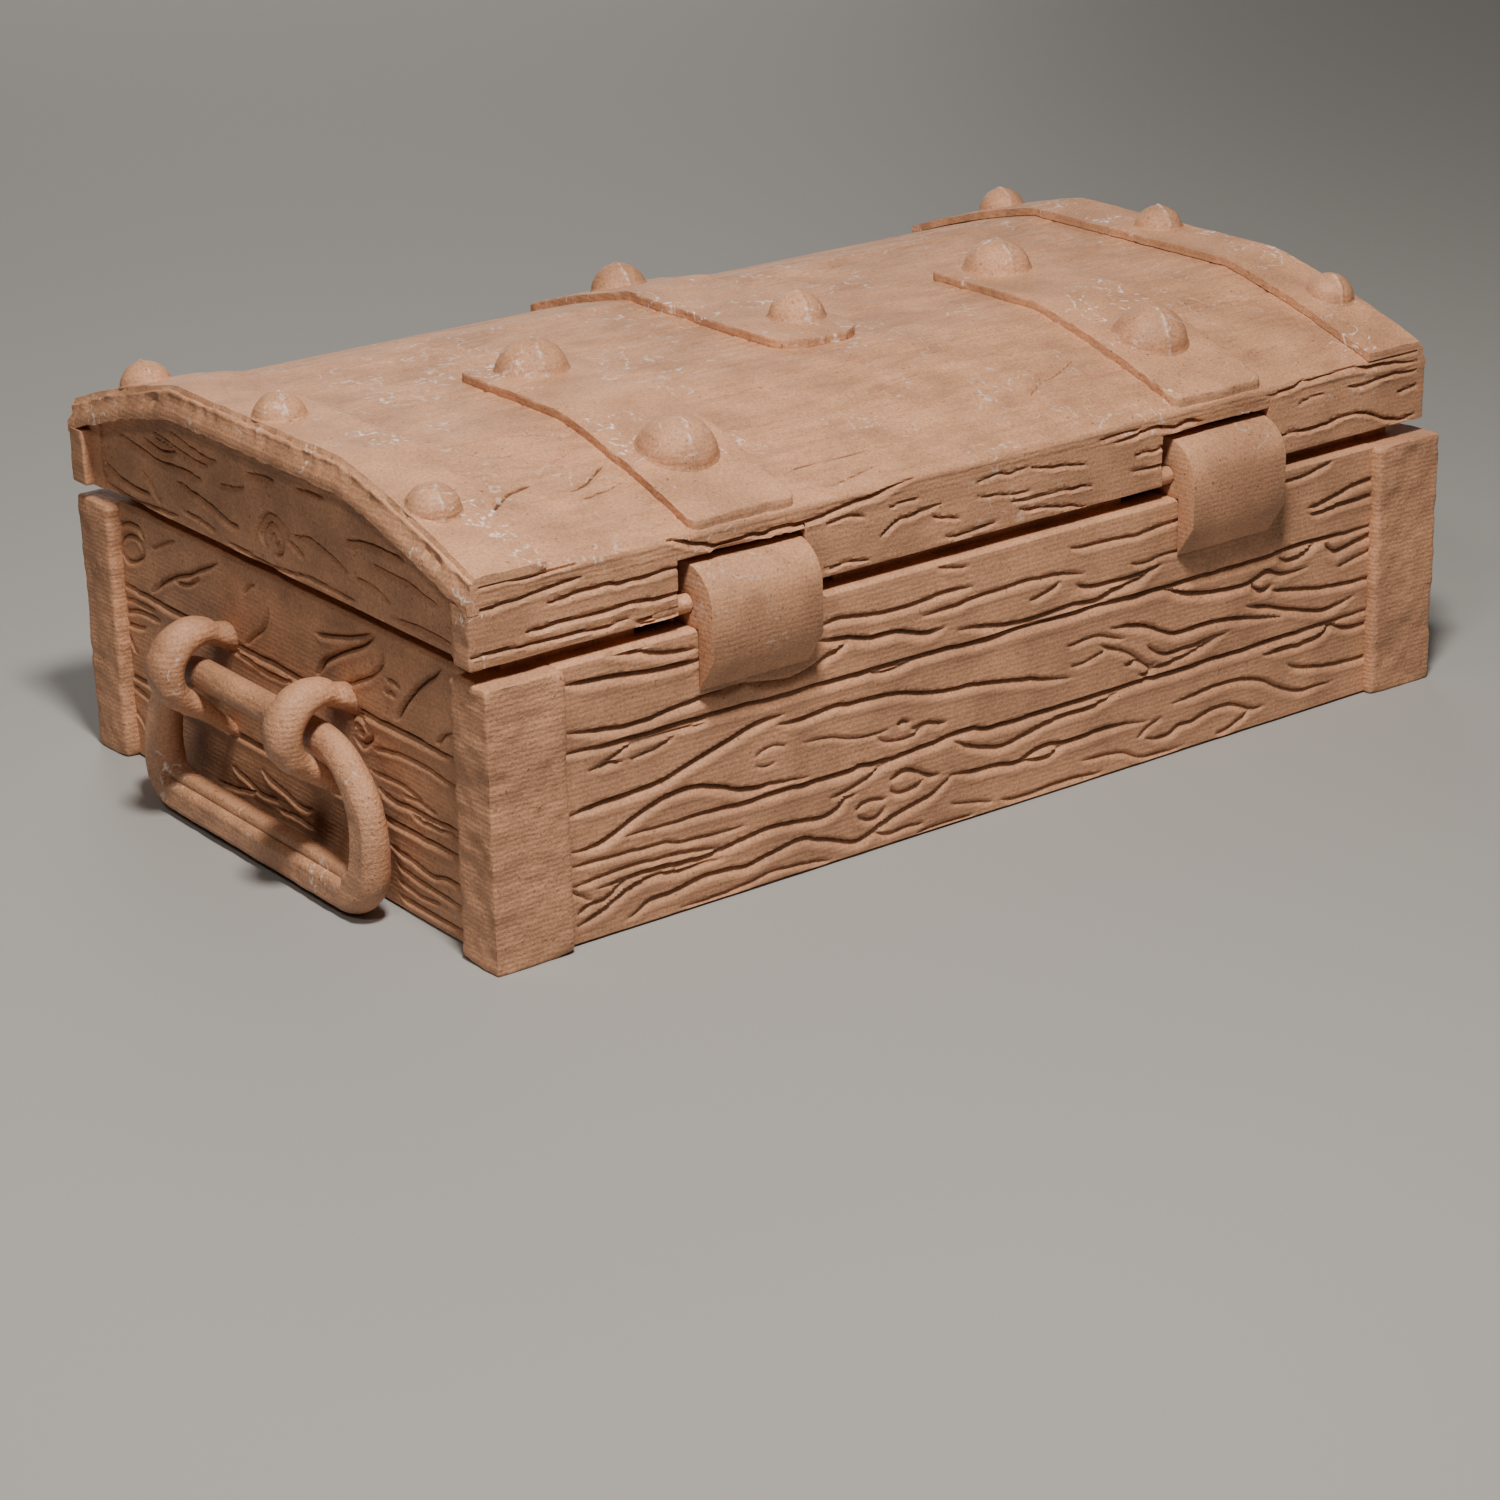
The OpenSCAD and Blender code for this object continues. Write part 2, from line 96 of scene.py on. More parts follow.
# The box boards Four wall boards printed in tan plastic, with deep wood grain carved in
# their outer faces. They run between the corner posts and carry the low lip that the lid
# rests on.
MM = 0.001
HALF_L, HALF_D, RIM = 40.0, 25.25, 18.3
LONG_FACE, END_FACE, BOARD_T = 24.55, 39.0, 2.9
POST_LONG, POST_END = 6.0, 4.2
LID_Z, LIP_T = 19.2, 1.0


def block(name, low, high):
    """A block at its size and place, in millimetres, with nothing else selected."""
    bpy.ops.object.select_all(action="DESELECT")
    low, high = Vector(low), Vector(high)
    bpy.ops.mesh.primitive_cube_add(size=1, location=(low + high) / 2)
    piece = bpy.context.object
    piece.name = name
    piece.scale = high - low
    bpy.ops.object.transform_apply(location=True, rotation=False, scale=True)
    return piece


def rule(piece, axis, *parts, keep=None):
    """Splits the edges along one axis into parts, all of them or those that keep picks, and
    splits what comes of it again for each further number of parts."""
    for count in parts:
        bpy.ops.object.mode_set(mode="EDIT")
        bpy.ops.mesh.select_mode(type="EDGE")
        bpy.ops.mesh.select_all(action="DESELECT")
        mesh = bmesh.from_edit_mesh(piece.data)
        for edge in mesh.edges:
            a, b = edge.verts[0].co, edge.verts[1].co
            if abs((a - b)[axis]) > 0.999 * (a - b).length and (keep is None or keep((a + b) / 2)):
                edge.select_set(True)
        bmesh.update_edit_mesh(piece.data)
        bpy.ops.mesh.subdivide(number_cuts=count - 1)
        bpy.ops.object.mode_set(mode="OBJECT")


def points(piece):
    """The places of a piece's points, one row each."""
    co = np.empty(len(piece.data.vertices) * 3, np.float32)
    piece.data.vertices.foreach_get("co", co)
    return co.reshape(-1, 3).astype(float)


def set_points(piece, co):
    """Moves a piece's points to the given places."""
    piece.data.vertices.foreach_set("co", np.ascontiguousarray(co, np.float32).ravel())
    piece.data.update()


def mark_points(piece, name, values):
    """Stores one value for each point, which the piece's material reads."""
    mark = piece.data.attributes.new(name, "FLOAT", "POINT")
    mark.data.foreach_set("value", np.ascontiguousarray(values, np.float32))


LATTICE = 48


def lumps(seed, place, size):
    """Smooth random swells between -1 and 1, as far apart as size says along X, Y and Z."""
    table = np.random.default_rng(seed).uniform(-1, 1, (LATTICE,) * 3)
    p = np.asarray(place, float) / np.asarray(size, float) + 7.31
    cell = np.floor(p).astype(int)
    f = p - cell
    f = f * f * (3 - 2 * f)
    total = np.zeros(len(p))
    for corner in itertools.product((0, 1), repeat=3):
        share = np.prod(np.where(np.array(corner) == 1, f, 1 - f), axis=1)
        i, j, k = ((cell + corner) % LATTICE).T
        total += share * table[i, j, k]
    return total


def wear(co, low, high, radius):
    """Rounds the edges of a block by the radius at each point, and returns the points and
    their outward normals."""
    low, high = np.asarray(low, float), np.asarray(high, float)
    radius = np.reshape(radius, (-1, 1)) * np.ones((len(co), 1))
    inside = np.clip(co, low + radius, high - radius)
    out = co - inside
    out /= np.maximum(np.linalg.norm(out, axis=1, keepdims=True), 1e-9)
    return inside + out * radius, out


def smooth_path(places):
    """A smooth line through the given places."""
    nodes = np.array(places, float)
    ends = np.vstack([2 * nodes[0] - nodes[1], nodes, 2 * nodes[-1] - nodes[-2]])
    t = np.linspace(0, 1, 7)[:-1, None]
    path = [0.5 * (2 * b + (c - a) * t + (2 * a - 5 * b + 4 * c - d) * t ** 2
                   + (3 * b - a - 3 * c + d) * t ** 3)
            for a, b, c, d in zip(ends, ends[1:], ends[2:], ends[3:])]
    return np.vstack(path + [nodes[-1:]])


def cuts(u, v, strokes, steep=0.07, shake=0.05, seed=5, soft=1.0):
    """Depth from 0 to 1 of hand-cut lines, steep above and gentle below, with a low ridge
    under each. A stroke is its strength and then the places that it runs through."""
    flat = np.stack([u, v, 0 * u], axis=1)
    v = v + shake * lumps(seed, flat, (0.9, 0.9, 1)) + shake * lumps(seed + 1, flat, (2.7, 2.7, 1))
    hollow, ridge = np.zeros(len(u)), np.zeros(len(u))
    # For each stroke: how far the points near it are from it, on which side, and where along it
    for strength, *places in strokes:
        path = smooth_path(places)
        (left, low), (right, high) = path.min(axis=0) - 1.3, path.max(axis=0) + 0.6
        near = np.flatnonzero((u > left) & (u < right + 0.7) & (v > low) & (v < high))
        best, side, place = np.full(len(near), 9.0), np.zeros(len(near)), np.zeros(len(near))
        for number, (a, b) in enumerate(zip(path, path[1:])):
            run = b - a
            share = ((u[near] - a[0]) * run[0] + (v[near] - a[1]) * run[1]) / (run @ run)
            share = np.clip(share, 0, 1)
            above = v[near] - a[1] - share * run[1]
            gap = np.hypot(u[near] - a[0] - share * run[0], above)
            closer = gap < best
            best[closer] = gap[closer]
            side[closer] = np.where(above > 0, gap, -gap)[closer]
            place[closer] = (number + share[closer]) / (len(path) - 1)
        # The line fades out at both ends, and a stronger one is wider
        taper = np.sqrt(np.clip(9 * place * (1 - place), 0.02, 1))
        gentle = soft * (0.10 + 0.24 * strength) * taper
        cut = np.exp(-np.where(side > 0, (side / steep) ** 2, (np.abs(side) / gentle) ** 1.7))
        swell = np.exp(-((side + 1.9 * gentle) / (1.1 * gentle)) ** 2) * (side < 0)
        hollow[near] = np.maximum(hollow[near], (0.25 + 0.75 * strength) * taper * cut)
        ridge[near] = np.maximum(ridge[near], strength * taper * swell)
    return hollow - 0.22 * ridge * (1 - np.clip(2 * hollow, 0, 1))


def carve(piece, co, out, depth, most, facing):
    """Sinks the points of the outer face by their depth and keeps the depth for the material, which paints
    shade into the deepest cuts by it.
    """
    share = np.clip((out @ np.array(facing) - 0.5) * 2, 0, 1)
    cut = share * depth
    mark_points(piece, "carved", cut)
    return co - out * (most * cut)[:, None]


# The height of a print layer, and the plastic's own colour
LAYER = 0.34
TAN = (0.54, 0.278, 0.156)


def printed_plastic(name, base, glint=0.0, layers=0.5, grit=0.5, rough=0.62, brush=0.0,
                    glint_line_x=None):
    """Tan wood-filled plastic: mottled colour, dark specks, print layers, painted glints and painted
    shade in the cuts. glint, layers, grit and brush say how much shows of the painted glints, the
    layers, the grit and brushed streaks. The last argument is the place along X of a line of
    painted highlights, where one is wanted."""
    material = bpy.data.materials.new(name)
    material.use_nodes = True
    nodes, links = material.node_tree.nodes, material.node_tree.links
    shader = nodes["Principled BSDF"]
    place = nodes.new("ShaderNodeTexCoord").outputs["Object"]

    def noise(scale, detail, roughness=0.5, stretch=None):
        """Noise over the piece, drawn out along an axis where stretch says so."""
        texture = nodes.new("ShaderNodeTexNoise")
        texture.inputs["Scale"].default_value = scale
        texture.inputs["Detail"].default_value = detail
        texture.inputs["Roughness"].default_value = roughness
        if stretch:
            mapping = nodes.new("ShaderNodeMapping")
            mapping.inputs["Scale"].default_value = stretch
            links.new(place, mapping.inputs["Vector"])
            links.new(mapping.outputs["Vector"], texture.inputs["Vector"])
        else:
            links.new(place, texture.inputs["Vector"])
        return texture.outputs["Fac"]

    def ramp(value, low, high, start=(0, 0, 0, 1), end=(1, 1, 1, 1)):
        """Turns values from low to high into colours from start to end."""
        node = nodes.new("ShaderNodeValToRGB")
        node.color_ramp.elements[0].position = low
        node.color_ramp.elements[0].color = start
        node.color_ramp.elements[1].position = high
        node.color_ramp.elements[1].color = end
        links.new(value, node.inputs["Fac"])
        return node.outputs["Color"]

    def mix(kind, factor, a, b):
        """Blends b over a, in the way and by the share that are given."""
        node = nodes.new("ShaderNodeMix")
        node.data_type = "RGBA"
        node.blend_type = kind
        for value, socket in ((factor, node.inputs["Factor"]), (a, node.inputs["A"]),
                              (b, node.inputs["B"])):
            if isinstance(value, (int, float, tuple)):
                socket.default_value = value
            else:
                links.new(value, socket)
        return node.outputs["Result"]

    def stored(name):
        """A value that is stored at each point of the piece."""
        node = nodes.new("ShaderNodeAttribute")
        node.attribute_name = name
        return node

    def bump(height, strength, distance, under=None):
        """Lets a height stand out, on top of the bump under it."""
        node = nodes.new("ShaderNodeBump")
        node.inputs["Strength"].default_value = strength
        node.inputs["Distance"].default_value = distance
        links.new(height, node.inputs["Height"])
        if under:
            links.new(under, node.inputs["Normal"])
        return node.outputs["Normal"]

    # Broad mottling, dark specks, fine grain, brushed streaks and painted shade in the hollows
    dark = tuple(0.82 * c for c in base) + (1,)
    light = tuple(min(1, 1.12 * c) for c in base) + (1,)
    colour = ramp(noise(260, 4), 0.35, 0.65, dark, light)
    speck = ramp(noise(3400, 2, 0.6), 0.66, 0.72)
    colour = mix("MULTIPLY", speck, colour, (0.52, 0.46, 0.42, 1))
    grain = ramp(noise(5600, 2, 0.7), 0.32, 0.68, (0.74, 0.73, 0.72, 1), (1.14, 1.14, 1.14, 1))
    colour = mix("MULTIPLY", 1.0, colour, grain)
    streak = noise(1700, 3, 0.5, (0.16, 1, 1)) if brush else None
    if brush:
        colour = mix("MULTIPLY", 1.0, colour,
                     ramp(streak, 0.36, 0.62, (0.90, 0.88, 0.86, 1), (1.05, 1.05, 1.05, 1)))
    # Painted shade: the deepest cuts are darkened in colour by their stored depth, where shade falls in
    # them
    hollow = ramp(stored("carved").outputs["Fac"], 0.58, 0.95)
    colour = mix("MULTIPLY", hollow, colour, (0.30, 0.235, 0.19, 1))

    # Painted glints: whitish highlights painted as broken threads in patches, along the rivets'
    # beads and as a line at the given place along X
    painted_glints = None
    if glint:
        thread = ramp(noise(520, 2, 0.4), 0.47, 0.50)
        edge = ramp(noise(520, 2, 0.4), 0.50, 0.53, (1, 1, 1, 1), (0, 0, 0, 1))
        patch = ramp(noise(190, 2), 0.52, 0.60)
        broken = ramp(noise(2600, 2), 0.48, 0.56)
        painted_glints = mix("MULTIPLY", 1.0, mix("MULTIPLY", 1.0, thread, edge),
                     mix("MULTIPLY", 1.0, patch, broken))
        painted_glints = mix("LIGHTEN", 1.0, painted_glints, stored("shine").outputs["Color"])
        if glint_line_x:
            axes = nodes.new("ShaderNodeSeparateXYZ")
            links.new(place, axes.inputs["Vector"])
            line = nodes.new("ShaderNodeMath")
            line.operation = "COMPARE"
            line.inputs[1].default_value = glint_line_x * MM
            line.inputs[2].default_value = 0.045 * MM
            links.new(axes.outputs["X"], line.inputs[0])
            dashes = mix("MULTIPLY", 1.0, line.outputs["Value"], ramp(noise(1900, 3), 0.49, 0.56))
            painted_glints = mix("LIGHTEN", 1.0, painted_glints, mix("MULTIPLY", 1.0, dashes, (2, 2, 2, 1)))
        # Painted highlights: the glint spots are mixed towards a warm white, and made less rough below
        colour = mix("MIX", mix("MULTIPLY", 1.0, painted_glints, (glint, glint, glint, 1)), colour,
                     (0.93, 0.86, 0.80, 1))
    links.new(colour, shader.inputs["Base Color"])
    smooth, coarse = (rough - 0.08,) * 3 + (1,), (rough + 0.08,) * 3 + (1,)
    rough_map = ramp(noise(900, 3), 0.3, 0.7, smooth, coarse)
    if painted_glints is not None:
        rough_map = mix("MIX", painted_glints, rough_map, (0.22, 0.22, 0.22, 1))
    links.new(rough_map, shader.inputs["Roughness"])
    shader.inputs["Specular IOR Level"].default_value = 0.42

    # The print's layers, its grit and the brushed streaks stand out a little
    wave = nodes.new("ShaderNodeTexWave")
    wave.wave_type = "BANDS"
    wave.bands_direction = "Z"
    wave.inputs["Scale"].default_value = 2 * math.pi / (20 * LAYER * MM)
    wave.inputs["Distortion"].default_value = 2.2
    wave.inputs["Detail"].default_value = 2
    wave.inputs["Detail Scale"].default_value = 1.6
    links.new(place, wave.inputs["Vector"])
    normal = bump(wave.outputs["Fac"], layers, 0.04 * MM)
    normal = bump(noise(3400, 4, 0.75), 0.9, 0.09 * grit * MM, normal)
    if brush:
        normal = bump(streak, brush, 0.12 * MM, normal)
    links.new(normal, shader.inputs["Normal"])
    return material


carved_wood = printed_plastic("carved_board_plastic", TAN, layers=0.22, grit=0.5)


def finish(piece, name, material, slot, body, *nodes, angle=48):
    """Brings a piece from millimetres to metres, gives it its finish and hands it to the frame."""
    bpy.ops.object.select_all(action="DESELECT")
    piece.select_set(True)
    bpy.context.view_layer.objects.active = piece
    piece.name = piece.data.name = name
    piece.data.transform(Matrix.Scale(MM, 4))
    piece.data.materials.clear()
    piece.data.materials.append(material)
    bpy.ops.object.shade_smooth_by_angle(angle=math.radians(angle))
    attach(piece, body)
    if nodes:
        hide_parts(*nodes)
    return piece


def join(first, *others):
    """Joins the others into the first piece."""
    bpy.ops.object.select_all(action="DESELECT")
    for piece in others:
        piece.select_set(True)
    first.select_set(True)
    bpy.context.view_layer.objects.active = first
    bpy.ops.object.join()
    return first


# Each stroke: its strength, then places along it. They were laid out for the back board, in
# three planks, and are turned over for the front one.
LONG_STROKES = (
    (1, (36, 12.7), (31, 12.6), (24, 12.6), (16, 12.5), (8, 12.5), (0, 12.4), (-9, 12.4), (-20, 12.35),
     (-24, 12.4), (-27, 12.6), (-31, 12.5), (-36, 12.5)),
    (1, (30.2, 6.3), (24, 6.2), (13, 6.1), (11.5, 6.2), (9.5, 6.05), (6, 6.25), (3.5, 6.4), (1.8, 6.4),
     (0, 6.1), (-11, 6.1), (-24, 6.15), (-31, 6.3), (-36, 6.2)),
    (0.7, (31, 18.5), (29.8, 18.2), (28.5, 18.2), (27.3, 18.4)),
    (0.8, (29.5, 18.1), (28, 17.85), (26.5, 17.4), (24, 17.15)),
    (1, (34, 17.05), (31, 16.9), (28.5, 16.6), (26, 16.45), (23.5, 16.35)),
    (0.9, (34, 13.95), (31, 13.65), (29.5, 13.45), (27.5, 13.5), (25.5, 13.75), (23, 13.9), (20, 14)),
    (0.8, (20.5, 13.95), (18.5, 13.6), (17, 13.45), (15.2, 13.75), (13.7, 14.35), (12, 14.7)),
    (1, (15, 15.4), (12.6, 15.1), (10.5, 14.65), (8.2, 14.55), (7, 14.2), (6, 13.95), (4.3, 13.85)),
    (0.8, (14.6, 16.3), (13, 16.5), (10.5, 16.15), (8, 16.05), (6, 16.15), (4, 16.3), (2, 16.2)),
    (0.5, (32.4, 11.1), (31.2, 11.5), (30, 11.9), (28.5, 12.2), (25.5, 12.15), (23, 12.1)),
    (0.7, (31.6, 11.3), (30.7, 11.4), (29.9, 11.2)),
    (0.4, (29.3, 11.1), (28.6, 11.3), (27.5, 11.4), (26.8, 11.6), (25.8, 11.85)),
    (1, (34, 8.6), (32, 8.95), (30, 9), (28, 9.1), (26.5, 9.3), (25, 9.75), (22, 10.5), (19.5, 11.2),
     (17.5, 11.2)),
    (0.9, (18, 10.65), (16.5, 10.55), (13.5, 10.8), (12, 10.65), (8.3, 10.4), (5.5, 9.75), (2, 9.4),
     (-1.7, 8.9), (-4, 8.4), (-6.5, 7.8)),
    (0.35, (19.8, 8.9), (19.2, 9.2), (18.2, 9.3), (17.2, 9)),
    (0.3, (19.7, 8.3), (19, 8.05), (18.2, 8.15)),
    (0.35, (16.2, 8.9), (14, 8.75), (12.5, 8.3), (11, 8.05), (9, 8.05)),
    (1, (34, 6.2), (32, 6.35), (31, 6.6), (29.5, 7.2), (28, 7.8), (26.5, 8.15), (25, 8.2), (23.5, 7.95),
     (22, 7.5), (20.5, 7), (18.5, 6.8), (15.5, 6.5)),
    (0.6, (34, 5.2), (32, 5.3), (30, 5.2), (27, 5.1), (25.8, 4.8), (24, 4.65), (20.5, 4.55)),
    (0.6, (34, 3.9), (31.5, 4.2), (29.5, 4.25), (27, 4.15), (25, 4), (22.5, 3.6)),
    (0.9, (32, 3.35), (30, 3.55), (28, 3.6), (26.5, 3.5), (24.5, 3.35), (23, 3.4), (20, 3.85),
     (18, 3.9), (16, 3.7), (14.4, 3.5), (13.4, 3.85), (12.8, 4.3), (11.6, 4.4)),
    (0.6, (14, 4.6), (12.4, 4.9), (11, 5.3), (9.7, 5.7), (8.4, 6.05)),
    (0.5, (34, 3.8), (32.9, 3.2), (32.5, 2.7)),
    (0.7, (33.5, 2), (32.7, 2.5), (31.5, 2.6), (30.5, 3.1), (29.5, 3.6)),
    (0.8, (33.7, 1.2), (32, 1.8), (31, 2.2), (30, 2.7), (29, 2.95), (27.5, 3.1), (26, 2.95), (22, 2.8)),
    (0.9, (30, 0.7), (29, 1.1), (28, 1.6), (26, 1.75), (24, 2.05), (22, 2), (20.8, 1.85), (19, 2.1),
     (16.3, 2.45), (15, 2.1), (13.5, 1.6), (12, 1.1), (11, 1.25), (10, 1.7), (8.5, 2.1), (7, 2.45),
     (5.6, 2.7), (4.4, 3.3), (3.7, 3.6)),
    (0.5, (26, 0.4), (23, 0.45), (21, 0.6), (19, 0.85), (17, 0.8), (15, 0.6), (14, 0.3)),
    (0.7, (11.9, 3.1), (11.3, 3.55), (10.3, 3.6), (9.3, 3.4)),
    (0.7, (11.7, 2.9), (11.2, 2.5), (10.6, 2.3), (10, 2.4), (9.5, 2.9)),
    (0.9, (9.1, 4.5), (8.3, 4.95), (7.6, 5), (6.6, 4.6), (5.9, 4.2), (4.9, 3.9)),
    (0.7, (9, 4), (8.5, 3.6), (7.5, 3.55), (6.3, 3.9)),
    (0.85, (3.9, 6), (2.5, 5.4), (1, 4.9), (-0.3, 4.6), (-2, 4.8), (-4, 5.2), (-6, 5.4), (-8.5, 5.4),
     (-12, 5.95)),
    (0.95, (4.2, 3.65), (2.5, 3.5), (0, 3.35), (-1.8, 3.1), (-3.2, 3.55), (-4.5, 3.65), (-6, 3.45),
     (-7.5, 3.45), (-9, 3.55), (-10.5, 3.5), (-13.5, 3)),
    (0.7, (-1.8, 3.1), (-3, 2.9), (-4.5, 2.85), (-6.1, 3.4)),
    (0.35, (4, 1.6), (2, 1.2), (0.3, 0.8)),
    (0.6, (-0.3, 0.7), (-2, 0.55), (-4.5, 0.6), (-6.5, 0.65), (-9.5, 0.45)),
    (0.5, (-7.3, 1.65), (-9, 1.6), (-10.2, 1.5), (-11.5, 1.2), (-13, 0.6), (-17, 0.4)),
    (0.5, (10.5, 1.3), (9.2, 0.95), (7.5, 1), (6.2, 0.85)),
    (0.4, (6.8, 0.25), (5.5, 0.45), (4, 0.45), (2, 0.25)),
    (0.8, (8.4, 8.2), (7.9, 8.4), (7.3, 8.2)),
    (0.75, (7.3, 7.7), (6, 7.8), (5.2, 7.6), (4.3, 7.4)),
    (0.5, (10, 7.8), (9.3, 7.3), (8, 7.2), (6.9, 7.3), (6, 7.7)),
    (0.75, (6.5, 15.1), (4, 15.2), (2, 15.45), (0, 15.5), (-1.5, 15.6), (-3.5, 15.5), (-5.2, 15.4),
     (-7.6, 14.8)),
    (0.6, (-2.7, 14.05), (-3.8, 14.25), (-4.6, 14.5), (-5.3, 14.85)),
    (0.9, (-6.8, 14.25), (-8, 13.9), (-10, 13.8), (-12, 13.8), (-14.5, 14.05)),
    (0.9, (3.5, 13.5), (1.5, 13.4), (-1, 12.9), (-3, 12.85), (-5, 12.95), (-6.5, 13), (-8.5, 12.85),
     (-10, 13.15), (-12.5, 13.45), (-13.4, 13.8)),
    (0.45, (5, 18.1), (4, 17.85), (2.5, 17.6)),
    (0.65, (-6, 16.95), (-8, 16.8), (-10, 16.75), (-12, 16.6), (-14, 16.75), (-17, 17)),
    (0.7, (10.6, 12.3), (9.8, 12.1), (8.5, 12.1), (6.9, 12.35)),
    (0.6, (-6, 10.15), (-7.5, 10.3), (-8.8, 10.25), (-9.7, 10), (-11, 9.5)),
    (0.95, (-9.8, 10.5), (-11.7, 10.4), (-13.3, 9.9), (-15, 9.1), (-15.9, 8.85), (-18.3, 8.85),
     (-20, 8.75), (-22, 8.5), (-26, 7.6)),
    (0.75, (-9, 9.55), (-10, 9.1), (-11.3, 8.6), (-12.5, 7.8), (-13.3, 7.1), (-14, 7)),
    (0.45, (-6.3, 8.65), (-8, 8.75), (-9.5, 9.1)),
    (0.8, (-11.2, 7.5), (-11.8, 7.7), (-12.5, 7.6), (-13.2, 7.2), (-13.6, 6.8), (-13.2, 6.5),
     (-12.5, 6.6)),
    (0.8, (-13.2, 8.6), (-14, 8), (-15, 7.55), (-16.5, 7.6), (-18, 7.6), (-20.8, 7.8)),
    (0.7, (-13.5, 6.7), (-15, 6.8), (-16.5, 7), (-18, 7.2), (-20, 7.6)),
    (0.95, (-14.3, 12.3), (-15.5, 11.9), (-17, 11.4), (-19, 11.05), (-21, 10.85), (-22.5, 10.85),
     (-23.3, 11.1), (-24, 11.4), (-24.8, 11.3), (-25.8, 10.85), (-28.3, 10.75)),
    (0.9, (-23, 10.7), (-23.3, 10.3), (-24, 10.1), (-24.7, 10.4)),
    (0.9, (-22.3, 9.2), (-24, 8.9), (-25.5, 8.4), (-27, 8), (-28.5, 7.55), (-30, 7.3), (-33, 7.6)),
    (0.85, (-24.8, 9.8), (-26.5, 9.55), (-28, 9.25), (-30, 8.95), (-36, 8.5)),
    (0.75, (-25.3, 12.1), (-26, 11.75), (-27, 11.75), (-28, 11.95), (-29, 12.4)),
    (0.85, (-29.7, 12.2), (-30.7, 11.4), (-31.3, 11.4), (-32.5, 11.6), (-36, 12.2)),
    (0.45, (-31, 10.2), (-32.5, 10.4), (-35, 10.8)),
    (0.65, (-25, 17.4), (-27.5, 17.55), (-29, 17.8), (-30.2, 18)),
    (0.85, (-28, 15), (-29.5, 15.25), (-31, 15.5), (-32.5, 15.85), (-36, 16.1)),
    (0.8, (-28.2, 14.5), (-30, 14.6), (-32, 14.75), (-36, 14.8)),
    (0.45, (-11.5, 14.65), (-13, 14.5), (-14.5, 14.7), (-16.5, 14.6)),
    (0.85, (-24, 5.25), (-26, 5.3), (-28, 5.3), (-29.5, 5.45), (-30.7, 6), (-32, 5.5), (-36, 5.2)),
    (0.75, (-26.5, 4), (-28, 3.5), (-30, 3.1), (-32, 2.9), (-36, 2.8)),
    (0.8, (-15.5, 3.7), (-18, 3.95), (-20, 4.1), (-22, 4), (-24, 3.5), (-25.5, 2.7), (-26.7, 2.15),
     (-28, 1.85), (-31.2, 1.6)),
    (0.5, (-12.5, 2), (-13.3, 2.6), (-14.7, 3)),
    (0.75, (-13, 1.9), (-14.5, 1.6), (-15.5, 1.7), (-16.3, 2.1), (-17.5, 2.05), (-18.5, 2.3), (-20, 2.55),
     (-21.5, 2.3), (-23.2, 1.6), (-24.5, 1.5)),
    (0.6, (-19.8, 0.5), (-21.5, 0.85), (-22.9, 1.5)),
)
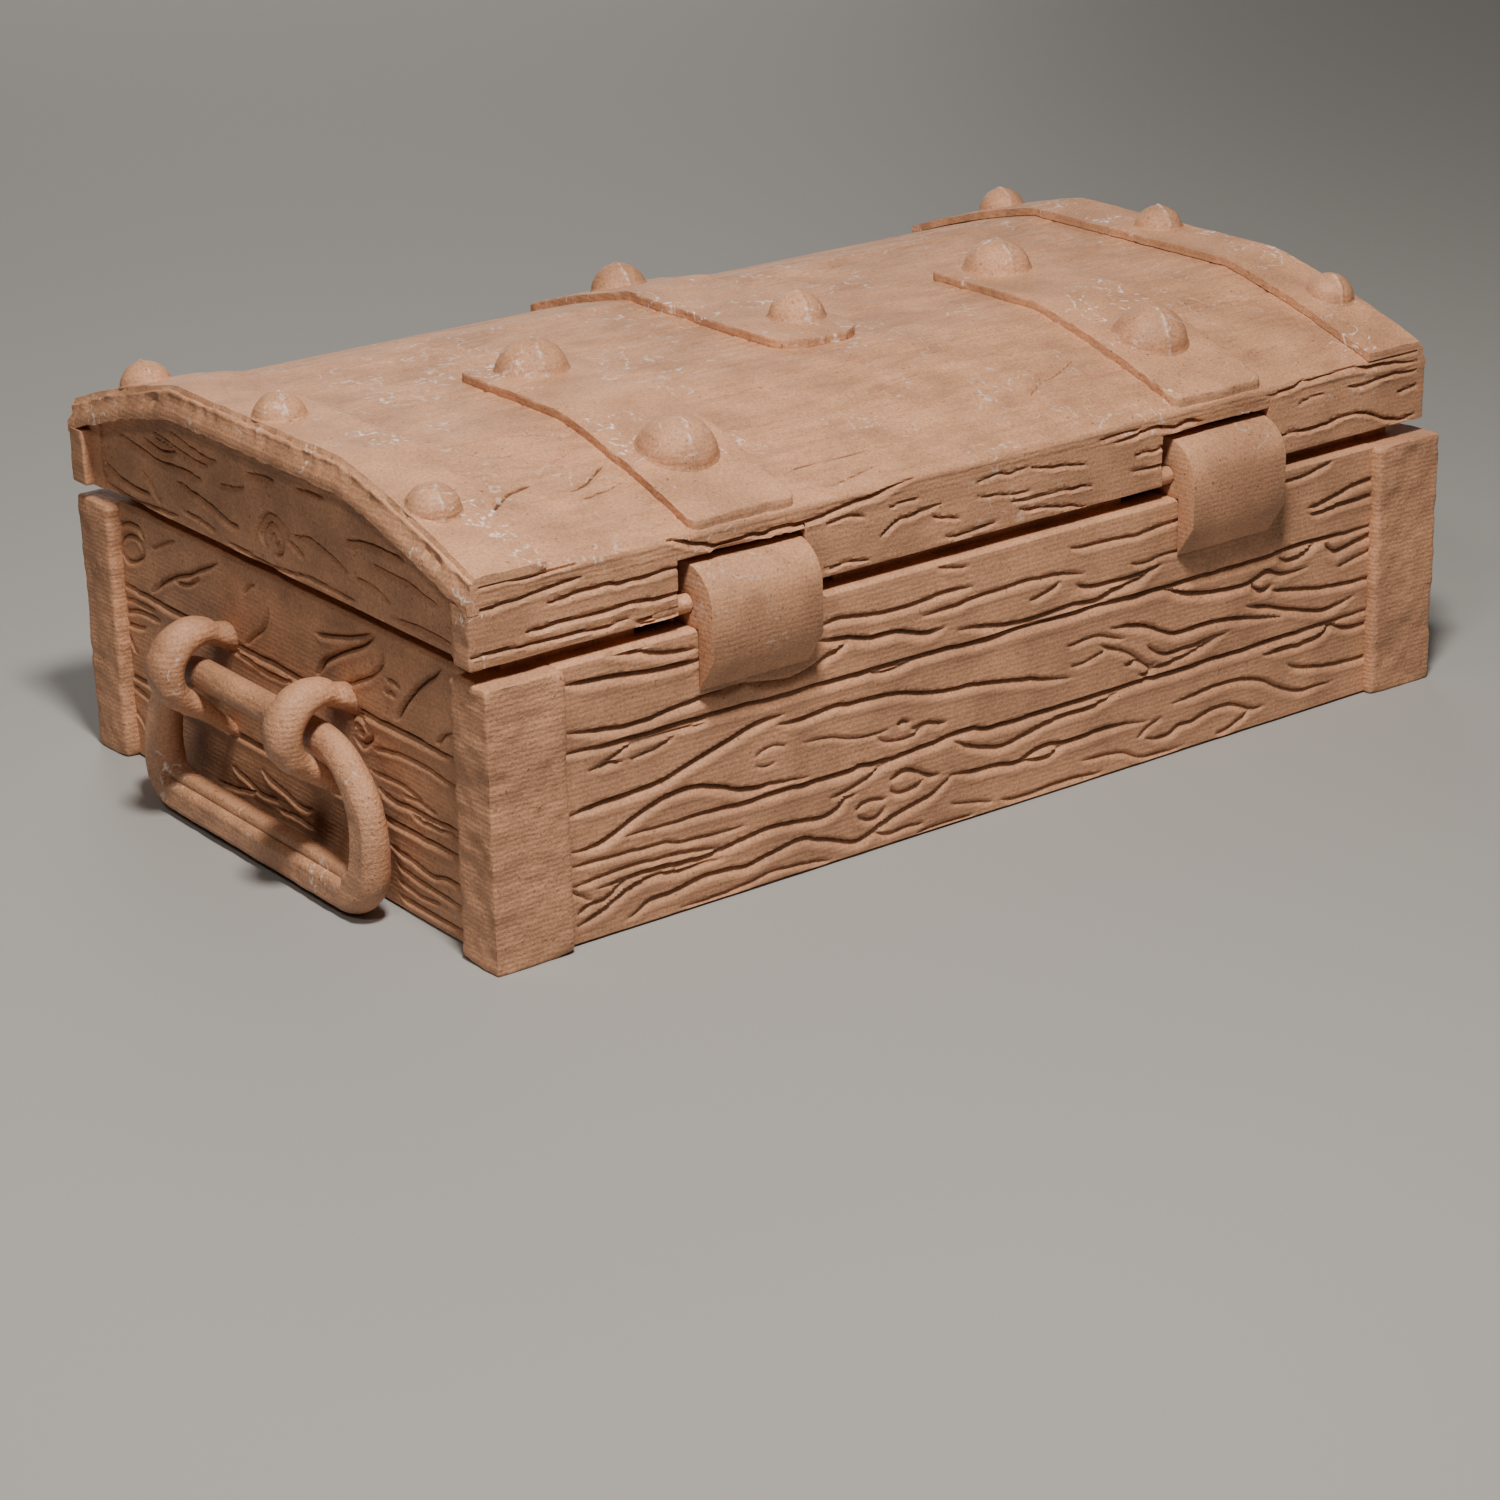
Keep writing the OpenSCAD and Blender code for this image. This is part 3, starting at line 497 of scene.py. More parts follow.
# The right end board's strokes, as places along Y and Z. The left one has them turned over.
END_STROKES = (
    (1, (-24, 12.6), (-14, 12.5), (-8, 12.45), (0, 12.4), (8, 12.3), (14, 12.3), (24, 12.3)),
    (0.9, (-24, 5.9), (-12, 6), (0, 5.9), (11, 5.85), (24, 5.85)),
    (0.8, (-17.5, 12.9), (-16, 14), (-14, 15), (-12, 15.7), (-10, 16.6), (-7.8, 17.5)),
    (0.5, (-14, 14.6), (-12, 15), (-10.5, 15.8)),
    (0.5, (-17, 16.2), (-15.5, 16.9), (-13.5, 17.6)),
    (0.7, (-22, 16.4), (-20.5, 17.2), (-18.6, 17.3), (-17.9, 16.6)),
    (0.7, (-21.4, 15), (-21.2, 15.8), (-19.9, 16.5), (-18.5, 16.4), (-18.2, 15.6), (-19, 14.9),
     (-20.3, 14.5), (-21.2, 14.8)),
    (0.55, (-5, 12.7), (-4, 13.5), (-2.7, 14.3), (-2, 15.3), (-1.7, 16)),
    (0.45, (-4.8, 16.2), (-4, 16.9), (-3.2, 17.2)),
    (0.8, (4.2, 15.9), (6, 16.3), (8, 16.8), (11, 17.8)),
    (0.95, (4, 13.1), (5, 14.3), (6.5, 15.2), (8, 15.9), (9.5, 16.6), (11.4, 17.7)),
    (0.75, (7.5, 13.5), (9, 14.2), (10.5, 14.9), (11.7, 15.8), (12.3, 16.9)),
    (0.95, (13.3, 12.8), (14, 13.8), (15.3, 15.1), (16.5, 16.1), (19, 17.8)),
    (0.6, (12.4, 15.2), (13.2, 15.3), (14, 15.1)),
    (0.5, (12.1, 14.3), (12.8, 14.5), (13.4, 14.4)),
    (0.7, (17.9, 12.7), (18.8, 13.5), (20.5, 14.2)),
    (0.7, (-24, 9.9), (-20, 11), (-18.5, 11.2), (-16.5, 11.1)),
    (0.5, (-24, 11), (-20, 11.7), (-17, 11.7)),
    (0.6, (-24, 9.5), (-20.5, 9.8), (-18.7, 10.1)),
    (0.6, (-24, 9), (-21.4, 8.8), (-20.3, 7.8)),
    (0.45, (-23, 8.4), (-21.8, 8.1), (-21.2, 7.2)),
    (0.8, (7.9, 10.9), (8, 11.6), (8.9, 11.95), (9.8, 11.6), (10.3, 10.9), (9.4, 10.1), (8.3, 10.2)),
    (0.8, (8.5, 10.9), (8.8, 11.3), (9.3, 11), (8.9, 10.6)),
    (0.6, (10.6, 10.1), (12, 10.5), (14, 10.7), (16.5, 10.7), (21, 10.3)),
    (0.5, (9.8, 8.5), (12, 8.6), (14, 8.6), (16, 8.2)),
    (0.35, (13.6, 8), (15.5, 8.1), (17.5, 7.9)),
    (0.8, (10.6, 7.6), (12.5, 7.3), (14.5, 7.4), (17, 7.45), (22, 7.5)),
    (0.45, (14.6, 6.9), (17, 6.95), (21, 7.1)),
    (0.55, (-7.5, 12), (-5, 11.8), (-2, 11.6), (1, 11.8)),
    (0.7, (-4, 4.2), (-2.5, 3.8), (-1, 3.6), (0.5, 3.2), (2.4, 3.4)),
    (0.6, (-8, 3.3), (-6, 2.9), (-4.5, 2.5), (-2, 2.6)),
    (0.4, (-2, 2), (0, 2.2), (2.5, 2.1)),
    (0.7, (11.6, 4.1), (14, 3.9), (16.5, 3.6), (18, 3.9), (21, 3.9)),
    (0.6, (12.5, 3), (15, 2.7), (21, 2.5)),
    (0.7, (12.6, 0.9), (16, 0.95), (21, 0.9)),
    (0.4, (12.5, 1.9), (15, 1.7), (17.4, 1.9)),
    (0.6, (-22, 5.2), (-20, 5), (-17.6, 4.4)),
    (0.5, (-22, 3.6), (-20.2, 2.8), (-19.2, 1.2)),
    (0.4, (-10, 1.5), (-7, 1.9), (-5, 2.3)),
)
BOARD_WEAR, GRAIN_DEPTH, END_DEEPER = 0.22, 0.40, 1.15
UNDER_POST, LIP_SINK = 0.4, 0.3


def turned(strokes, u_way=1, v_way=1, u_from=0, v_from=0):
    """The same strokes turned over or moved, so that no two faces are copies."""
    return [(strength, *((u_from + u_way * u, v_from + v_way * v) for u, v in places))
            for strength, *places in strokes]


def long_board(side, strokes, seed, lip_gaps):
    """The front or back board, carved outside, with its lip in lengths between the gaps."""
    half = HALF_L - POST_LONG + UNDER_POST
    inner, outer = side * (LONG_FACE - BOARD_T), side * LONG_FACE
    low, high = (-half, min(inner, outer), 0), (half, max(inner, outer), RIM)
    board = block("board", low, high)
    rule(board, 0, 4, 85)
    rule(board, 2, 2, 76, keep=lambda middle: side * middle.y > LONG_FACE - 0.01)
    rule(board, 1, 8, keep=lambda middle: middle.z > RIM - 0.01)
    co, out = wear(points(board), low, high, BOARD_WEAR)
    depth = cuts(co[:, 0], co[:, 2], strokes)
    swell = 0.14 + 0.04 * lumps(seed, co, (6, 3, 1.8)) + 0.012 * lumps(seed + 1, co, (1.2, 1, 0.4))
    co = carve(board, co, out, depth, GRAIN_DEPTH, (0, side, 0))
    set_points(board, co - out * (swell * (side * out[:, 1] > 0.5))[:, None])
    ends = [-half] + [edge for gap in lip_gaps for edge in gap] + [half]
    near, far = sorted((inner, inner + side * LIP_T))
    lips = [block("lip", (start, near, RIM - LIP_SINK), (stop, far, LID_Z))
            for start, stop in zip(ends[::2], ends[1::2])]
    return join(board, *lips)


# The lip of the back board leaves room for both hinges
HINGE_X, LIP_GAP_HALF = 19.8, 7.65
hinge_gaps = [(side * HINGE_X - LIP_GAP_HALF, side * HINGE_X + LIP_GAP_HALF) for side in (-1, 1)]
finish(long_board(1, LONG_STROKES, 11, hinge_gaps), "carved_back_board",
       carved_wood, "boards", "base", "back_board")
finish(long_board(-1, turned(LONG_STROKES, v_way=-1, v_from=RIM), 12, []), "carved_front_board",
       carved_wood, "boards", "base", "front_board")


def end_board(side, strokes, seed):
    """An end board, carved outside, with its length of the lip."""
    half = HALF_D - POST_END + UNDER_POST
    inner = side * (END_FACE - BOARD_T)
    low = (min(inner, side * END_FACE), -half, 0)
    high = (max(inner, side * END_FACE), half, RIM)
    board = block("board", low, high)
    rule(board, 1, 3, 90)
    rule(board, 2, 2, 76, keep=lambda middle: side * middle.x > END_FACE - 0.01)
    rule(board, 0, 8, keep=lambda middle: middle.z > RIM - 0.01)
    co, out = wear(points(board), low, high, BOARD_WEAR)
    depth = cuts(co[:, 1], co[:, 2], strokes, soft=0.8)
    swell = 0.14 + 0.04 * lumps(seed, co, (3, 6, 1.8)) + 0.012 * lumps(seed + 1, co, (1, 1.2, 0.4))
    co = carve(board, co, out, END_DEEPER * depth, GRAIN_DEPTH, (side, 0, 0))
    set_points(board, co - out * (swell * (side * out[:, 0] > 0.5))[:, None])
    low_x, high_x = sorted((inner, inner + side * LIP_T))
    return join(board, block("lip", (low_x, -half, RIM - LIP_SINK), (high_x, half, LID_Z)))


for side, word in ((1, "right"), (-1, "left")):
    strokes = END_STROKES if side > 0 else turned(END_STROKES, v_way=-1, v_from=RIM)
    finish(end_board(side, strokes, 31 - side), "carved_end_board_" + word,
           carved_wood, "boards", "base", "end_board_" + word)

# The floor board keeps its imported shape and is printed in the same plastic
floor_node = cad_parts["floor_board"]
floor_node.data.materials.clear()
floor_node.data.materials.append(carved_wood)


# The corner posts
# Four rough-hewn uprights that stand a little proud of the boards. Each also carries its
# corner of the lip.
POST_PARTS = (26, 18, 80)
POST_WEAR, POST_LIP_SINK = 0.24, 0.4
hewn_wood = printed_plastic("hewn_post_plastic", TAN, layers=0.35, grit=1.1)


def corner_post(side, back, seed):
    """A post, most worn on its inner edges, with its own length of the lip."""
    inner = np.array([HALF_L - POST_LONG, HALF_D - POST_END])
    sign = np.array([side, back])
    a, b = inner * sign, np.array([HALF_L, HALF_D]) * sign
    low, high = (*np.minimum(a, b), 0), (*np.maximum(a, b), RIM)
    post = block("post", low, high)
    for axis, parts in enumerate(POST_PARTS):
        rule(post, axis, parts)
    co = points(post)
    soft = np.clip(1.6 - np.abs(np.abs(co[:, :2]) - inner).min(axis=1), 0, 1)
    radius = POST_WEAR + 0.30 * soft + 0.10 * lumps(seed + 1, co, (1.5, 1.5, 0.8))
    co, out = wear(co, low, high, np.maximum(radius, 0.1))
    swell = (0.11 + 0.08 * lumps(seed, co, (1.6, 1.6, 1.6)) + 0.07 * lumps(seed + 2, co, (0.8, 0.8, 0.7))
             + 0.02 * lumps(seed + 3, co, (4, 4, 0.34)))
    # The foot stays flat on the ground
    on_ground = np.clip(co[:, 2] / 0.3, 0, 1)
    co[:, :2] -= (out * swell[:, None])[:, :2]
    co[:, 2] -= out[:, 2] * swell * 0.5 * on_ground
    set_points(post, np.clip(co, low, high))
    lip_x = sorted((side * inner[0], side * (END_FACE - BOARD_T + LIP_T)))
    lip_y = sorted((back * inner[1], back * (LONG_FACE - BOARD_T + LIP_T)))
    lip = block("lip", (lip_x[0], lip_y[0], RIM - POST_LIP_SINK), (lip_x[1], lip_y[1], LID_Z))
    return join(post, lip)


for side, word in ((1, "right"), (-1, "left")):
    for back, place in ((1, "back"), (-1, "front")):
        finish(corner_post(side, back, 50 + 3 * side + back),
               "hewn_post_%s_%s" % (place, word), hewn_wood, "posts", "base",
               "corner_post_%s_%s" % (place, word))


# The roof
# One carved skin over the front slope, the flat top and the back slope. It is printed with
# the lid, and its eaves are worn round.
# The lid lies a little off the box's middle, SHIFT to the right and SET to the front
SHIFT, SET = 0.45, 0.5
LID_L, LID_D = 38.85, 24.7
# The eave's height, the rise from it to the flat top, half the flat top's width, the bulge
# of the slopes and the roof's thickness
EAVE, RISE, FLAT, BULGE, ROOF_T = 24.3, 4.05, 10.3, 0.3, 1.3
ROOF_CUT, ROOF_WEAR = 0.42, 0.3


def roof_height(y):
    """Height of the roof's upper face at places across the chest."""
    share = np.clip((np.abs(y + SET) - FLAT) / (LID_D - FLAT), 0, 1)
    return EAVE + RISE * (1 - share) + 4 * BULGE * share * (1 - share)


def lie_on_roof(co):
    """Lays points that are drawn flat, with Z as the height above the roof, on the roof."""
    co = co.copy()
    co[:, 2] += roof_height(co[:, 1])
    return co


# Strokes on the lid's long sides, as places along X and Z, from the eave down over the rail
EAVE_STROKES = (
    (0.85, (40.8, 22.85), (37, 23), (35, 23.15), (33.5, 23.25), (32, 23.3)),
    (0.5, (37, 24.15), (34, 24.25), (32, 24.35)),
    (0.95, (34.6, 22.15), (33, 22.4), (32, 22.45), (30.5, 22.45), (28.5, 22.45), (26.5, 22.35),
     (24.4, 22.3)),
    (0.9, (36.2, 20.75), (35, 20.85), (33.5, 20.95), (30.5, 20.85), (29, 20.95), (27, 20.85), (24, 20.8)),
    (0.75, (40.8, 20.2), (37, 20.1), (35, 20.05), (33, 20), (31, 19.9), (28.6, 19.95)),
    (0.8, (28.4, 19.55), (27, 19.7), (25.5, 19.8), (24, 19.95)),
    (0.6, (28, 19.3), (26.4, 19.45), (25, 19.6)),
    (1, (27, 24.3), (25, 24), (23.5, 23.6), (22.5, 23.3), (21.5, 23.2), (18, 23.2), (14, 23.3),
     (12.5, 23.45), (11, 23.6), (10, 23.7), (8.5, 23.95), (6.5, 24.3)),
    (0.6, (13.7, 22.6), (12.5, 22.75), (11.8, 22.8), (10.6, 22.5)),
    (0.8, (9.5, 20.9), (8.7, 21.4), (8, 21.7), (7, 21.85), (4.3, 22.1)),
    (0.5, (8.7, 22.7), (7.5, 22.9), (6.2, 22.8)),
    (0.6, (5.3, 21.35), (4, 21.1), (2.9, 20.75)),
    (0.5, (1.6, 22.85), (0.5, 22.95), (-1, 22.85), (-3, 22.85)),
    (0.65, (-3, 22.8), (-4.5, 22.65), (-6, 22.4), (-8, 22.05)),
    (0.45, (1.6, 21.8), (0, 21.6), (-1.5, 21.4), (-3.2, 21.3)),
    (0.65, (-1.3, 20.85), (-4, 20.9), (-6, 20.8), (-8.4, 20.75)),
    (0.6, (-2, 20.25), (-4, 20.1), (-6, 19.7), (-7.8, 19.35)),
    (0.6, (14, 19.8), (12, 19.85), (10.3, 19.65)),
    (0.6, (4.2, 19.85), (2, 19.7), (-0.3, 19.9)),
    (0.5, (-8.9, 23.6), (-11, 23.7), (-12.5, 23.6)),
    (0.9, (-10, 23.1), (-13.5, 23.4), (-15.5, 23.2), (-17, 23.3), (-18.2, 23)),
    (0.6, (-12, 21.85), (-14, 21.95), (-15.6, 22.1)),
    (0.6, (-11.6, 20.9), (-14, 20.75), (-16, 20.8)),
    (0.95, (-24, 23.6), (-26, 23.7), (-27.5, 24.05), (-29, 24.15), (-31, 24.1), (-32.5, 24.1),
     (-33.5, 23.85), (-35.5, 23.7), (-38.7, 23.4)),
    (0.8, (-31.6, 22.85), (-33, 22.75), (-34, 22.85), (-36, 22.95), (-38.6, 22.7)),
    (0.9, (-25, 20.7), (-28, 20.6), (-30, 20.65), (-32, 20.9), (-33.5, 20.75), (-35, 20.2), (-36.5, 19.75),
     (-38.6, 19.6)),
    (0.4, (-27, 22.5), (-28, 22.75), (-29.5, 22.8)),
    (0.6, (-36.6, 21.55), (-38.6, 21.65)),
)
# Strokes on the roof, most of them on its back half, as places along X and Y. The front
# half has the same ones turned round.
ROOF_STROKES = (
    (0.7, (34, 17.6), (33, 17), (31.5, 16.3), (29.8, 16.1)),
    (0.6, (28.6, 17.8), (27, 17.2), (26, 16.6), (24.3, 15.6)),
    (0.5, (28.3, 18.6), (26.5, 18.3), (24.2, 17.7)),
    (0.5, (31.8, 11), (30.6, 12.2), (28.8, 12.6)),
    (0.5, (28.4, 10.2), (26.5, 10.8), (24.2, 12.2)),
    (0.4, (30, 13.9), (27.8, 14.4), (25.5, 13.8)),
    (0.35, (14, 11.4), (12, 11.4), (10, 11.7), (8.3, 12)),
    (0.55, (14.6, 20.7), (12, 20.5), (9, 20.5), (6.8, 20.2)),
    (0.45, (12.7, 22.9), (10, 22.4), (7.6, 21.9)),
    (0.45, (-6.6, 19.3), (-9, 18), (-11, 17.5), (-14.2, 16)),
    (0.35, (-8.3, 18.1), (-10.3, 17), (-11.8, 16.6)),
    (0.4, (3.5, 17), (0.5, 17.6), (-2, 17.2)),
    (0.35, (6.5, 14.6), (3, 14.9), (-1, 14.2), (-4.5, 14.4)),
    (0.4, (-26, 14.5), (-29, 14), (-32.5, 14.8)),
    (0.35, (-25.5, 20.6), (-28, 20.1), (-31, 20.7), (-33, 20.2)),
    (0.3, (30, 2), (25.5, 1.4), (22.5, 2.2)),
    (0.3, (12, -3), (7, -2.5), (4.5, -3.4)),
    (0.3, (-7, -9), (-11, -8), (-15, -9.5)),
)


def eave_side(co, back):
    """How the lid's long sides are carved: cut depth and swell, from the eave to the rail."""
    seed = 74 + back
    strokes = turned(EAVE_STROKES, u_way=back)
    flat = np.stack([co[:, 0], 0 * co[:, 0], co[:, 2]], axis=1)
    swell = 0.09 + 0.05 * lumps(seed, flat, (5, 1, 1.3)) + 0.02 * lumps(seed + 1, flat, (1, 1, 0.35))
    return cuts(co[:, 0], co[:, 2], strokes, shake=0.12, seed=7, soft=0.55), swell


def fine_grain():
    """Short shallow lines along the whole roof, row after row."""
    hand = np.random.default_rng(76)
    lines = []
    for across in np.arange(-23.4, 23.6, 0.75):
        start = hand.uniform(-38, 22)
        along = start + np.arange(0, hand.uniform(5, 19), 2.2)
        lines.append((hand.uniform(0.12, 0.4),
                      *zip(along, across + np.cumsum(hand.uniform(-0.22, 0.22, len(along))))))
    return lines


def roof_skin(strokes):
    """The roof's three boards as one skin, drawn flat, carved and laid over the roof's curve."""
    low = (SHIFT - LID_L, -SET - LID_D, -ROOF_T)
    high = (SHIFT + LID_L, -SET + LID_D, 0)
    roof = block("roof", low, high)
    rule(roof, 1, 10)
    rule(roof, 0, 4, 80)
    rule(roof, 1, 25, keep=lambda middle: middle.z > -0.01)
    rule(roof, 2, 12, keep=lambda middle: abs(middle.y + SET) > LID_D - 0.01)
    co = points(roof)
    edge = np.maximum(ROOF_WEAR + 0.14 * lumps(70, co, (3.5, 1.5, 1)), 0.08)
    # The bands and rails cover its ends and underside, so only its long edges are worn
    co, out = wear(co, (low[0] - 2, low[1], low[2] - 2), (high[0] + 2, high[1], high[2]), edge)
    eave_face = np.abs(out[:, 1]) > 0.7
    depth = np.maximum(
        cuts(co[:, 0], -co[:, 1], turned(strokes, v_way=-1), steep=0.10, shake=0.12),
        0.8 * cuts(co[:, 0], co[:, 1], fine_grain(), steep=0.09, shake=0.1, seed=9))
    swell = 0.07 + 0.03 * lumps(72, co, (7, 3, 3)) + 0.022 * lumps(73, co, (2.6, 0.45, 0.45))
    for back in (1, -1):
        side_cut, side_swell = eave_side(co + np.array([0, 0, EAVE]), back)
        here = eave_face & (back * out[:, 1] > 0)
        depth, swell = np.where(here, 1.1 * side_cut, depth), np.where(here, side_swell, swell)
    # Painted shade: on the roof the cuts are darkened more strongly than on the eaves
    mark_points(roof, "carved", np.where(eave_face, depth, 1.6 * depth))
    outside = (out[:, 2] > -0.5) & (np.abs(out[:, 0]) < 0.9)
    set_points(roof, lie_on_roof(co - out * ((swell + ROOF_CUT * depth) * outside)[:, None]))
    return roof


roof_wood = printed_plastic("roof_plastic", TAN, glint=0.4, layers=0.35, grit=0.6, brush=0.8)
both_slopes = list(ROOF_STROKES) + turned(ROOF_STROKES, u_way=-1, v_way=-1, v_from=-2 * SET)
finish(roof_skin(both_slopes), "carved_roof", roof_wood, "roof_boards", "lid",
       "lid_front_board", "lid_top_board", "lid_back_board")


# The lid's rails
# The long sides of the lid under the eaves, split by long cracks in the grain. The back rail
# is notched round each bracket and ends in a knuckle on both sides of it.
RAIL_T, RAIL_TOP, TUCK = 3.2, EAVE - ROOF_T, 0.3
RAIL_WEAR, RAIL_CUT = 0.14, 0.45
NOTCH_HALF, NOTCH_Z = 4.75, 22.7
AXIS_Y, AXIS_Z = 23.45, 19.75
KNUCKLE_R, KNUCKLE_L = 1.05, 2.4
RAIL_BACK = -0.12


def rail_length(start, stop, bottom, back, along, upward=26):
    """One length of a rail, carved outside, with its top tucked into the roof. It is split
    along its length and upward into the given numbers of parts."""
    outer = -SET + back * LID_D
    inner = outer - back * RAIL_T
    low = (start, min(outer, inner), bottom)
    high = (stop, max(outer, inner), RAIL_TOP + TUCK)
    rail = block("rail", low, high)
    rule(rail, 0, *along)
    rule(rail, 2, upward, keep=lambda middle: back * (middle.y - outer) > -0.01)
    rule(rail, 1, 6, keep=lambda middle: middle.z < bottom + 0.01)
    # An end that the bands cover stays sharp, and so does the top
    beyond = [2 if abs(end - SHIFT) > LID_L - 1 else 0 for end in (start, stop)]
    co, out = wear(points(rail), (low[0] - beyond[0], low[1], low[2]),
                   (high[0] + beyond[1], high[1], high[2] + 1), RAIL_WEAR)
    depth, swell = eave_side(co, back)
    co = carve(rail, co, out, depth, RAIL_CUT, (0, back, 0))
    co -= out * (swell * (back * out[:, 1] > 0.5))[:, None]
    top = roof_height(co[:, 1]) - ROOF_T + TUCK
    co[:, 2] = bottom + (co[:, 2] - bottom) / (RAIL_TOP + TUCK - bottom) * (top - bottom)
    set_points(rail, co)
    return rail


def knuckle(x):
    """A round knuckle on the hinge's axis, cut flat where it meets the rail."""
    bpy.ops.object.select_all(action="DESELECT")
    bpy.ops.mesh.primitive_cylinder_add(vertices=40, radius=KNUCKLE_R, depth=KNUCKLE_L,
                                        location=(x, AXIS_Y, AXIS_Z),
                                        rotation=(0, math.pi / 2, 0))
    piece = bpy.context.object
    bpy.ops.object.transform_apply(location=True, rotation=True, scale=True)
    co = points(piece)
    co[:, 1] = np.minimum(co[:, 1], np.where(co[:, 2] < LID_Z + 0.1, AXIS_Y - 0.5, AXIS_Y + 0.2))
    set_points(piece, co)
    return piece


# The torn lower edge over a notch: places along it, and how far it rises there
SPLINTERS = ((0, 0.02), (1.2, 0.0), (1.6, 0.12), (1.75, 0.02), (2.4, 0.1), (2.5, 0.0), (3.9, 0.16),
             (4.2, 0.28), (6.4, 0.3), (6.9, 0.22), (7.2, 0.02), (9.5, 0.0))
# The rails carry a line of painted highlights at X 39.15, by the lid's near corner
rail_wood = printed_plastic("cracked_rail_plastic", TAN, glint=0.3, layers=0.14, grit=0.7, glint_line_x=39.15)
left_end, right_end = SHIFT - LID_L + RAIL_BACK, SHIFT + LID_L - RAIL_BACK
notches = [(SHIFT + side * HINGE_X - NOTCH_HALF, SHIFT + side * HINGE_X + NOTCH_HALF)
           for side in (-1, 1)]
# The back rail: three lengths, then a header over each notch and the knuckles beside it
lengths = [
    rail_length(left_end, notches[0][0], LID_Z, 1, (90,)),
    rail_length(notches[0][1], notches[1][0], LID_Z, 1, (2, 96)),
    rail_length(notches[1][1], right_end, LID_Z, 1, (90,))]
for start, stop in notches:
    header = rail_length(start - 0.2, stop + 0.2, NOTCH_Z, 1, (60,), 6)
    co = points(header)
    torn = np.interp(co[:, 0] - start, *zip(*SPLINTERS))
    co[:, 2] += np.where(co[:, 2] < NOTCH_Z + 0.16, torn, 0)
    set_points(header, co)
    lengths.append(header)
    lengths += [knuckle(start - KNUCKLE_L / 2), knuckle(stop + KNUCKLE_L / 2)]
finish(join(*lengths), "cracked_back_rail", rail_wood, "boards", "lid", "lid_back_rail")
finish(rail_length(left_end, right_end, LID_Z, -1, (5, 90)), "cracked_front_rail",
       rail_wood, "boards", "lid", "lid_front_rail")


# The lid's end panels
# Upright boards that close the lid's ends inside the bands' borders, carved with a flowing
# grain and one ringed knot.
PANEL_T, PANEL_INSET, PANEL_LIFT, PANEL_CUT = 3.0, 1.6, 0.03, 0.42
# The right panel's strokes, as places along Y and Z. The left one has them mirrored.
PANEL_STROKES = (
    (0.85, (-23.3, 21.2), (-22, 21), (-20, 20.5), (-18, 20.3), (-15.8, 20.3)),
    (0.6, (-17, 21.8), (-16, 21.4), (-15, 20.5), (-14.4, 20.1)),
    (0.7, (-19.5, 23.6), (-17, 23.3), (-14, 23), (-11, 23.1), (-8.6, 23)),
    (0.8, (-16.6, 24.2), (-14.5, 23.8), (-13, 23.8), (-12, 24.1)),
    (0.5, (-15, 24.5), (-13.5, 24.3), (-11.6, 24)),
    (0.6, (-14.8, 24.9), (-12.5, 24.5), (-10, 24.2), (-7.6, 24.2)),
    (0.6, (-12.5, 25.4), (-10.5, 25), (-8, 24.7), (-6.4, 24.8)),
    (0.8, (-12.3, 22.1), (-9.5, 21.8), (-7, 21.4), (-5.5, 21), (-4, 20.9)),
    (0.45, (-11.8, 20.3), (-9, 20.2), (-7.2, 19.9)),
    (0.5, (-6.5, 23.2), (-4.5, 23.5), (-3, 23.9)),
    (0.6, (-2.8, 24.8), (-1, 25.1), (0.8, 25.2)),
    (0.7, (-0.3, 21.2), (0.2, 21.75), (0.8, 21.3), (0.3, 20.85)),
    (0.7, (-0.6, 20.5), (-1.1, 21.3), (-0.5, 22.1), (0.3, 22.35), (1.1, 22), (1.4, 21.3), (1, 20.5),
     (0.2, 20.2)),
    (0.6, (-2.2, 20.6), (-1.7, 21.7), (-0.9, 22.5), (0.3, 22.9), (1.6, 22.6), (2.2, 22)),
    (0.7, (2.1, 21.6), (3.2, 21.4), (4, 21)),
    (0.6, (2.5, 22.1), (4.5, 22.4), (6.5, 22.1), (7.5, 21.9), (9.2, 21.3)),
    (0.5, (3.3, 25.3), (5, 25.5), (6.8, 25.6)),
    (0.8, (9, 23.4), (11, 23.8), (13, 23.9), (16, 23.8)),
    (0.45, (10, 21.2), (12, 21.2), (14, 20.6)),
    (0.5, (12, 22.6), (16, 22.5), (19.5, 21.9)),
    (0.5, (20.2, 20.7), (23, 20.7)),
    (0.5, (-22, 19.6), (-18, 19.4), (-12, 19.7)),
    (0.45, (-6, 19.6), (0, 19.4), (5, 19.8), (10, 19.6)),
    (0.45, (14, 19.8), (18, 20), (22, 19.6)),
)


